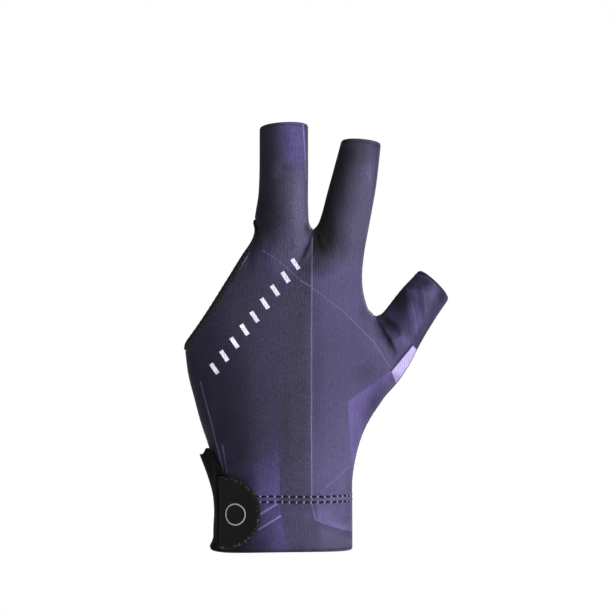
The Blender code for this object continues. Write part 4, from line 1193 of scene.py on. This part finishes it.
def seams(layout, back, palm, looks_tube, looks_thread):
    """The seam between the panels: a thin rolled ridge with short stitches laid across it."""
    ridges, stitches = [], []
    for pairs in seam_paths(layout):
        ids, inside = np.array([a for a, _ in pairs]), np.array([b for _, b in pairs])
        line = (back[ids] + palm[ids]) / 2
        out = line - (back[inside] + palm[inside]) / 2
        out /= np.maximum(np.linalg.norm(out, axis=1), 1e-9)[:, None]
        both, s = resample(np.concatenate([line, out], 1), 0.7)
        line, out = both[:, :3], both[:, 3:]
        for _ in range(3):
            out[1:-1] = (out[:-2] + 2 * out[1:-1] + out[2:]) / 4
        out /= np.linalg.norm(out, axis=1)[:, None]
        ridge = line - out * 0.26
        ridge[[0, -1]] += (ridge[[1, -2]] - ridge[[0, -1]]) * 0.75  # its ends stop short of the rims' rounding
        size = 0.35 + 0.02 * np.sin(s * 2 * np.pi / 1.4)
        size[[0, -1]] *= 0.85
        ridges.append(tube(ridge, size, 8, up=(0, 1, 0)))
        ahead = np.gradient(line, axis=0)
        ahead /= np.linalg.norm(ahead, axis=1)[:, None]
        width = np.cross(ahead, out)
        width /= np.linalg.norm(width, axis=1)[:, None]
        for k in range(3, len(line) - 3, 2):
            if (line[k + 1] + line[k - 1] - 2 * line[k]) @ out[k] > 0.025:
                continue  # the seam is rolled under in the webs
            lean_k = 0.42 if (k // 2) % 2 else -0.42
            way = [line[k] + out[k] * o + width[k] * w + ahead[k] * (w * lean_k)
                   for o, w in ((-0.70, -0.80), (-0.20, -0.50), (0.0, 0.0), (-0.20, 0.50), (-0.70, 0.80))]  # fmt: skip
            stitches.append(tube(way, 0.10, 5, up=tuple(out[k] + 1e-3), taper=True))
    ridge = new_mesh("side_seams", *join(ridges), looks_tube)
    outward_mesh(ridge)
    sewn = new_mesh("seam_stitches", *join(stitches), looks_thread)
    outward_mesh(sewn)
    return ridge, sewn


def row_at(layout, points, normals, left, right):
    """The panel's line that rises from one height to another, from its little-finger side to its thumb side, with its normals."""
    lines = []
    for c, share in enumerate(round_shares(PALM_CELLS)):
        ids = [layout.index["palm", r, c] for r in range(ROWS_TO_THUMB + 1)]
        height = left + (right - left) * share
        k = np.interp(height, points[ids, 2], np.arange(len(ids)))
        i, t = int(k), k - int(k)
        lines.append(np.concatenate([v[ids[i]] * (1 - t) + v[ids[i + 1]] * t for v in (points, normals)]))
    return np.array(lines)


def hem_stitches(layout, sides, looks_dark, looks_pale):
    """Two rows of black stitches round the hem, with the pale ground pulled up between them."""
    dark, pale = [], []
    for points, faces in sides:
        normals = corner_normals(points, faces)
        for row, (left, right) in enumerate(STITCH_ROWS):
            both, s = resample(row_at(layout, points, normals, left, right), 0.2)
            line, normal = both[:, :3], both[:, 3:]
            normal /= np.linalg.norm(normal, axis=1)[:, None]
            n = int(s[-1] / STITCH_PITCH)
            for k in range(n):
                start = (k + 0.3) * STITCH_PITCH + RNG.uniform(-0.12, 0.12)
                if start + 2.5 > s[-1]:
                    continue
                place = np.linspace(start, start + 2.35, 7)
                way = np.stack([np.interp(place, s, line[:, q]) for q in range(3)], 1)
                up = np.stack([np.interp(place, s, normal[:, q]) for q in range(3)], 1)
                way = way + up * (0.12 * np.sin(np.linspace(0, np.pi, 7))[:, None] - 0.06)
                way[:, 2] += RNG.uniform(-0.08, 0.08) + 0.16 * np.linspace(-1, 1, 7) * (1 if row else -1)
                dark.append(tube(way, 0.47, 8, up=up, flat=0.75, taper=True))
                # the thread below, caught in the gap, crosses the row
                if start + 3.0 > s[-1]:
                    continue
                middle = [np.interp(start + 2.78, s, line[:, q]) for q in range(3)]
                facing = np.array([np.interp(start + 2.78, s, normal[:, q]) for q in range(3)])
                along = way[-1] - way[0]
                along /= np.linalg.norm(along)
                down = np.cross(facing, along)
                reach = np.linspace(-1, 1, 6)[:, None]
                tilt = RNG.uniform(0.02, 0.22)
                cross = np.array(middle) + down * reach * RNG.uniform(0.42, 0.58) + along * reach * tilt
                cross = cross + facing * (0.05 - 0.16 * reach**2)
                pale.append(tube(cross, 0.24, 8, up=facing, flat=0.8, taper=True))
    made = []
    for name, pieces, looks in (("hem_stitches", dark, looks_dark), ("hem_stitch_flecks", pale, looks_pale)):
        obj = new_mesh(name, *join(pieces), looks)
        outward_mesh(obj)
        made.append(obj)
    return made


# ==== the edging ====================================================================================
def edging(back, palm, back_layout, palm_layout, looks, looks_thread):
    """The elastic edging round the opening for the ring and little fingers, with its line of pale stitches."""
    lines, outs, ups = [], [], []
    for points, layout, turn in ((back, back_layout, 1), (palm, palm_layout, -1)):
        line = points[layout.opening]
        facing = corner_normals(points, layout.quads[:, ::turn])[layout.opening]
        out = np.cross(facing, np.gradient(line, axis=0))
        outs.append((out / np.linalg.norm(out, axis=1)[:, None])[::turn] * turn)
        ups.append(facing[::turn])
        lines.append(line[::turn])
    loop, out, up = np.concatenate(lines), np.concatenate(outs), np.concatenate(ups)
    third = len(lines[0]) // 3
    if (out[third] * (loop[third] - back[back_layout.opening[third] + 1])).sum() < 0:
        out = -out
    length = round_trip(loop)
    want = np.linspace(0, length[-1], EDGING_CELLS + 1)[:-1]
    loop, out, up = (np.stack([np.interp(want, length, np.append(v[:, k], v[0, k])) for k in range(3)], 1) for v in (loop, out, up))
    out = rounded_loop(out, 90)
    out /= np.linalg.norm(out, axis=1)[:, None]
    centre = rounded_loop(loop + out * (EDGING_WIDTH / 2 + EDGING_OFF), 16)
    ahead = np.roll(centre, -1, 0) - np.roll(centre, 1, 0)
    ahead /= np.linalg.norm(ahead, axis=1)[:, None]
    out -= (out * ahead).sum(1)[:, None] * ahead
    out /= np.linalg.norm(out, axis=1)[:, None]
    across = np.cross(ahead, out)
    facing = np.sign(rounded_loop((across * up).sum(1)[:, None], 60))
    sides = 16
    angle = 2 * np.pi * (np.arange(sides) + 0.5) / sides
    w = np.sign(np.cos(angle)) * np.abs(np.cos(angle)) ** 0.75 * EDGING_WIDTH / 2
    t = np.sign(np.sin(angle)) * np.abs(np.sin(angle)) ** 0.75 * EDGING_THICK / 2
    t = t * (1 - 0.16 * np.exp(-(((w + 0.55) / 0.35) ** 2)))  # the stitches draw it in along a line
    pucker = 1 + 0.05 * np.sin(want * 2 * np.pi / 2.6)
    rings = (centre[:, None] + out[:, None] * w[None, :, None] * pucker[:, None, None]
             + across[:, None] * t[None, :, None] * (2 - pucker)[:, None, None])  # fmt: skip
    n, m = len(centre), sides
    faces = [(r * m + k, ((r + 1) % n) * m + k, ((r + 1) % n) * m + (k + 1) % m, r * m + (k + 1) % m)
             for r in range(n) for k in range(m)]  # fmt: skip
    band = new_mesh("opening_edging_band", rings.reshape(-1, 3), faces, looks)
    uv = np.stack([np.repeat(want, m), np.tile(np.cumsum(np.full(m, 0.55)), n)], 1) / 100
    set_uv(band, uv)
    outward_mesh(band)
    soften(band)
    stitches = []
    closed_line = np.concatenate([want, [length[-1]]])
    wrap = lambda v, s: np.stack([np.interp(s, closed_line, np.append(v[:, k], v[0, k])) for k in range(3)], 1)
    count = int(length[-1] / 2.2)
    for k in range(count):
        s = (k + np.linspace(0.12, 0.78, 6)) * length[-1] / count
        c, o, a, f = wrap(centre, s), wrap(out, s), wrap(across, s), wrap(facing * np.ones((1, 3)), s)
        lift = EDGING_THICK / 2 * 0.90 + 0.04 * np.sin(np.linspace(0, np.pi, 6))[:, None]
        stitches.append(tube(c - o * 0.66 + a * f * lift, 0.13, 6, up=a, taper=True))
    sewn = new_mesh("edging_stitches", *join(stitches), looks_thread)
    outward_mesh(sewn)
    return band, sewn


# ==== the strap and its tab =========================================================================
def thick(name, grid, normals, wall, looks, levels=1, uv=None):
    """A grid of points given a wall inwards, with its rim rounded over."""
    rows, columns = grid.shape[:2]
    outer, inner = grid.reshape(-1, 3), (grid - normals * wall).reshape(-1, 3)
    number = np.arange(rows * columns).reshape(rows, columns)
    a, b, c, d = number[:-1, :-1].ravel(), number[1:, :-1].ravel(), number[1:, 1:].ravel(), number[:-1, 1:].ravel()
    faces = np.stack([a, b, c, d], 1)
    n = rows * columns
    rim = [(q, p, p + n, q + n) for p, q in open_edges(faces)]
    obj = new_mesh(name, np.concatenate([outer, inner]), [*faces, *(faces[:, ::-1] + n), *rim], looks)
    outward_mesh(obj)
    if uv is not None:
        flat = uv.reshape(-1, 2) / 100
        set_uv(obj, np.concatenate([flat, flat]))
    soften(obj, levels)
    return obj


def bunched(count, low, high, tight):
    """Numbers from low to high, closer together near both ends."""
    t = np.linspace(-1, 1, count)
    t = np.sign(t) * (1 - (1 - np.abs(t)) ** (1 + tight)) if tight else t
    return low + (high - low) * (t + 1) / 2


# The strap's top corner goes on above the tab.
TONGUE = [Band(9.2, 35.5, 41.0, 0.5), Band(12.2, 35.5, 36.3, 0.3)]


def strap_point(wrist, s, z, low_stand):
    """A point of the strap's outer face, and its normal."""
    off = STRAP_OFF + STRAP_WALL + low_stand * ease((z - 24) / 21)
    off += STRAP_FLARE * ease((7 - z) / 6) * ease((s + 22) / 16) * ease((8 - s) / 6)
    off += 0.22 * np.sin(z / 3.6 + s * 0.21) * ease((z - 6) / 10) * ease((s + 20) / 8)
    p, n = wrist.at(z, s)
    if p[1] < wrist.edge_y:
        off -= 0.55 * np.exp(-(((p[0] - CREASE_X) / 0.9) ** 2))
    return p + n * off, n


def strap(wrist, looks, looks_thread):
    s_all = np.concatenate([bunched(64, STRAP[0].s, STRAP[-1].s, 0.35), np.linspace(TONGUE[0].s, TONGUE[-1].s, 9)])
    shares = bunched(36, 0, 1, 0.45)
    grid = np.zeros((len(s_all), len(shares), 3))
    normals = np.zeros_like(grid)
    uv = np.zeros(grid.shape[:2] + (2,))
    for c, s in enumerate(s_all):
        low, high, stand = band_at(s)
        if s > STRAP[-1].s:
            low, high, stand = (np.interp(s, [r.s for r in TONGUE], [getattr(r, k) for r in TONGUE]) for k in Band._fields[1:])
        for r, share in enumerate(shares):
            z = low + (high - low) * share
            grid[c, r], normals[c, r] = strap_point(wrist, s, z, stand)
            uv[c, r] = (s, z)
    band = thick("wrist_strap_band", grid, normals, STRAP_WALL, looks, uv=uv)
    # the two rows that sew its fixed end to the palm
    sewn = []
    for row, s in enumerate((STRAP[0].s + 1.7, STRAP[0].s + 4.6)):
        for z in np.arange(3.9 + 0.6 * row, 38.6, 2.7):
            way = []
            for t in np.linspace(0, 1, 6):
                p, n = strap_point(wrist, s, z + 1.95 * t, 0.0)
                way.append(p + n * (0.10 * np.sin(np.pi * t) - 0.02))
            sewn.append(tube(way, 0.27, 6, up=n, flat=0.75, taper=True))
    sewn = new_mesh("strap_stitches", *join(sewn), looks_thread)
    outward_mesh(sewn)
    return band, sewn


def tab_point(wrist, t, share, lift):
    """A point of the tab: t runs from its seam (0) to its round end (1), and share from its low edge (-1) to its high (1)."""
    mid, half = (TAB_LOW + TAB_HIGH) / 2, (TAB_HIGH - TAB_LOW) / 2
    reach = (1 - max(0.0, (t - 0.12) / 0.88) ** 2.35) ** (1 / 2.1)
    z, s = mid + half * reach * share, TAB_FROM + TAB_LENGTH * t
    p, n = wrist.at(z, s)
    return p + n * (STRAP_OFF + lift), n, (s, z)


def tab(wrist, looks, looks_thread, looks_ring):
    columns, rows = 40, 33
    grid = np.zeros((columns, rows, 3))
    normals = np.zeros_like(grid)
    uv = np.zeros(grid.shape[:2] + (2,))
    for c in range(columns):
        t = np.sin(np.pi / 2 * c / (columns - 1) * 0.992)
        for r, share in enumerate(bunched(rows, -1, 1, 0.5)):
            near = min(1.0, (1 - abs(share)) * 9, (1 - t) * 18 + 0.15)
            grid[c, r], normals[c, r], uv[c, r] = tab_point(wrist, t, share, TAB_WALL + 0.1 - 0.35 * (1 - near) ** 2)
    obj = thick("hook_tab_patch", grid, normals, TAB_WALL, looks, uv=uv)
    # the overlocked edge: a thread that runs to and fro over the rim
    rim = [(t, 1.0) for t in np.linspace(0.02, 0.9, 90)] + [(np.sin(a), None) for a in np.linspace(1.12, np.pi / 2, 60)]
    path = []
    for t, _ in rim:
        path.append((t, 1.0))
    path += [(t, -1.0) for t, _ in rim[::-1]]
    outline = np.array([tab_point(wrist, min(t, 0.9985), share, TAB_WALL + 0.1)[0] for t, share in path])
    facing = np.array([tab_point(wrist, min(t, 0.9985), share, 0)[1] for t, share in path])
    both, s = resample(np.concatenate([outline, facing], 1), 0.1)
    line, up = both[:, :3], both[:, 3:]
    up /= np.linalg.norm(up, axis=1)[:, None]
    ahead = np.gradient(line, axis=0)
    ahead /= np.linalg.norm(ahead, axis=1)[:, None]
    inwards = np.cross(up, ahead)
    middle = np.array(tab_point(wrist, 0.4, 0.0, TAB_WALL)[0])
    if (inwards[len(line) // 4] * (middle - line[len(line) // 4])).sum() < 0:
        inwards = -inwards
    pitch = 1.05
    threads = [[], []]
    for k in range(int(s[-1] / pitch)):
        for lean_k, which in ((0.55, 0), (-0.1, 1)):
            at_s = (k + 0.5) * pitch + np.linspace(-0.5, 0.5, 7) * lean_k + (0.3 if which else 0.0)
            reach = np.linspace(RNG.uniform(-0.45, -0.15), (1.65 if which == 0 else 1.35) + RNG.uniform(-0.25, 0.1), 7)
            way = np.stack([np.interp(at_s, s, line[:, q]) for q in range(3)], 1)
            inw = np.stack([np.interp(at_s, s, inwards[:, q]) for q in range(3)], 1)
            u = np.stack([np.interp(at_s, s, up[:, q]) for q in range(3)], 1)
            lift = np.interp(reach, [-0.45, 0.1, 0.6, 1.75], [-0.75, -0.12, 0.03, 0.02])
            threads[which].append(tube(way + inw * reach[:, None] + u * lift[:, None], 0.15, 6, up=u, taper=True))
    edge_a = new_mesh("tab_overlock", *join(threads[0]), looks_thread[:1])
    edge_b = new_mesh("tab_overlock_under", *join(threads[1]), looks_thread[1:])
    # a plain ring of pale thread in the middle
    turn = np.linspace(0, 2 * np.pi, 73)[:-1]
    ring, ring_up = [], []
    for a in turn:
        p, n = wrist.at((TAB_LOW + TAB_HIGH) / 2 - 0.5 + 4.6 * np.sin(a), TAB_FROM + 0.46 * TAB_LENGTH + 4.6 * np.cos(a))
        ring.append(p + n * (STRAP_OFF + TAB_WALL + 0.14))
        ring_up.append(n)
    pale = new_mesh("tab_ring", *tube(ring, 0.30, 8, closed=True, flat=0.5, up=np.array(ring_up)), looks_ring)
    for piece in (edge_a, edge_b, pale):
        outward_mesh(piece)
    return obj, edge_a, edge_b, pale


# ==== the light, the floor and the camera ===========================================================
def area_light(name, place, aim, power, size, colour=(1, 1, 1)):
    data = bpy.data.lights.new(name, "AREA")
    data.shape, data.size, data.energy, data.color = "DISK", size, power, colour
    obj = bpy.data.objects.new(name, data)
    bpy.context.scene.collection.objects.link(obj)
    obj.location = place
    obj.rotation_euler = (Vector(aim) - Vector(place)).to_track_quat("-Z", "Y").to_euler()
    return obj


def studio():
    scene = bpy.context.scene
    world = bpy.data.worlds.new("studio")
    scene.world = world
    world.use_nodes = True
    tree = world.node_tree
    tree.nodes.clear()
    out = tree.nodes.new("ShaderNodeOutputWorld")
    mix = tree.nodes.new("ShaderNodeMixShader")
    path = tree.nodes.new("ShaderNodeLightPath")
    fill, seen = tree.nodes.new("ShaderNodeBackground"), tree.nodes.new("ShaderNodeBackground")
    fill.inputs["Color"].default_value, fill.inputs["Strength"].default_value = (0.93, 0.95, 1.0, 1), FILL
    seen.inputs["Color"].default_value, seen.inputs["Strength"].default_value = (1, 1, 1, 1), 1.0
    tree.links.new(path.outputs["Is Camera Ray"], mix.inputs[0])
    tree.links.new(fill.outputs[0], mix.inputs[1])
    tree.links.new(seen.outputs[0], mix.inputs[2])
    tree.links.new(mix.outputs[0], out.inputs["Surface"])
    middle = (0.01, 0.0, 0.10)
    area_light("key", (1.02, -0.95, 0.62), middle, KEY, 0.55)
    area_light("front", (-0.35, -1.5, 0.35), middle, FRONT, 0.9)
    area_light("back", (0.45, 1.35, 0.6), middle, BACK, 0.8)

    floor_mesh = bpy.data.meshes.new("floor")
    half = 0.70
    floor_mesh.from_pydata([(-half, -half, FLOOR_Z), (half, -half, FLOOR_Z), (half, half, FLOOR_Z), (-half, half, FLOOR_Z)], [], [(0, 1, 2, 3)])
    floor = bpy.data.objects.new("floor", floor_mesh)
    scene.collection.objects.link(floor)
    look = Look("floor", (0.86, 0.86, 0.87), 0.8)
    look.shader.inputs["Emission Color"].default_value = (1, 1, 1, 1)
    far = (look.x * look.x + look.y * look.y).root().step(250, 700) * 0.45 + 0.30
    look.tree.links.new(far.socket, look.shader.inputs["Emission Strength"])
    look.dim(0.98 + look.noise(0.004, 2.0) * 0.04)
    floor_mesh.materials.append(look.finish())

    camera = bpy.data.objects.new("camera", bpy.data.cameras.new("camera"))
    scene.collection.objects.link(camera)
    camera.location = (VIEW_X * MM, -CAMERA_AWAY * MM, VIEW_Z * MM)
    camera.rotation_euler = (np.pi / 2, 0, 0)
    camera.data.sensor_width = 36
    camera.data.lens = 36 * CAMERA_AWAY / (612 * PIXEL)
    camera.data.clip_end = 20
    scene.camera = camera
    scene.view_settings.view_transform = "Standard"
    scene.view_settings.look = "None"
    scene.view_settings.exposure = 0
    scene.view_settings.gamma = 1


def main():
    printed, dark, inside = printed_fabric(), palm_fabric(), reverse_fabric()
    elastic = black_cloth("black_elastic", (0.0075, 0.0075, 0.0080), "elastic")
    brushed = black_cloth("strap_fabric", (0.0036, 0.0036, 0.0036), "brushed", 0.06)
    hooks = black_cloth("hook_fabric", (0.0085, 0.0085, 0.0086), "hook")
    seam = thread("seam_thread", (0.022, 0.020, 0.034))
    black = thread("black_thread", (0.0050, 0.0040, 0.0080))
    pale = thread("pale_thread", (0.42, 0.39, 0.52))
    dull = thread("edging_thread", (0.055, 0.053, 0.062))
    olive = thread("olive_thread", (0.0125, 0.0118, 0.0095), flecks=(0.085, 0.080, 0.060))
    grey = thread("grey_thread", (0.0065, 0.0063, 0.0060), flecks=(0.16, 0.155, 0.145))
    silver = thread("ring_thread", (0.40, 0.40, 0.41), 0.5)

    back_layout = Layout(OPENING_BACK)
    opening_palm = [
        Edge(e.z - 2.2 * ease((e.z - 91) / 12) * ease((149.4 - e.z) / 12), e.x + 1.6 * ease((e.z - 91) / 12) * ease((149.4 - e.z) / 12))
        for e in OPENING_BACK
    ]
    palm_layout = Layout(opening_palm)
    reach = smooth(FULLNESS, back_layout.xz[:, 1], value="reach")
    half = inflate(back_layout, reach)
    back_obj, back, back_faces = panel("back_panel_knit", back_layout, half, -1, [printed, inside])
    palm_obj, palm, palm_faces = panel("palm_panel_knit", palm_layout, half, 1, [dark, inside])
    ridge, sewn = seams(back_layout, back, palm, [seam], [seam])
    hem_dark, hem_pale = hem_stitches(back_layout, ((back, back_faces), (palm, palm_faces)), [black], [pale])
    band, band_sewn = edging(back, palm, back_layout, palm_layout, [elastic], [dull])
    wrist = Wrist(back_layout, back, palm)
    wrist.edge_y = float(np.mean((back[back_layout.index["palm", 4, 0]] + palm[back_layout.index["palm", 4, 0]])[1])) / 2
    strap_obj, strap_sewn = strap(wrist, [brushed], [dull])
    tab_obj, lock_a, lock_b, ring = tab(wrist, [hooks], [olive, grey], [silver])

    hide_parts("back_panel")
    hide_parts("palm_panel")
    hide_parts("opening_edging")
    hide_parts("wrist_strap")
    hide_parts("hook_tab")
    studio()


main()
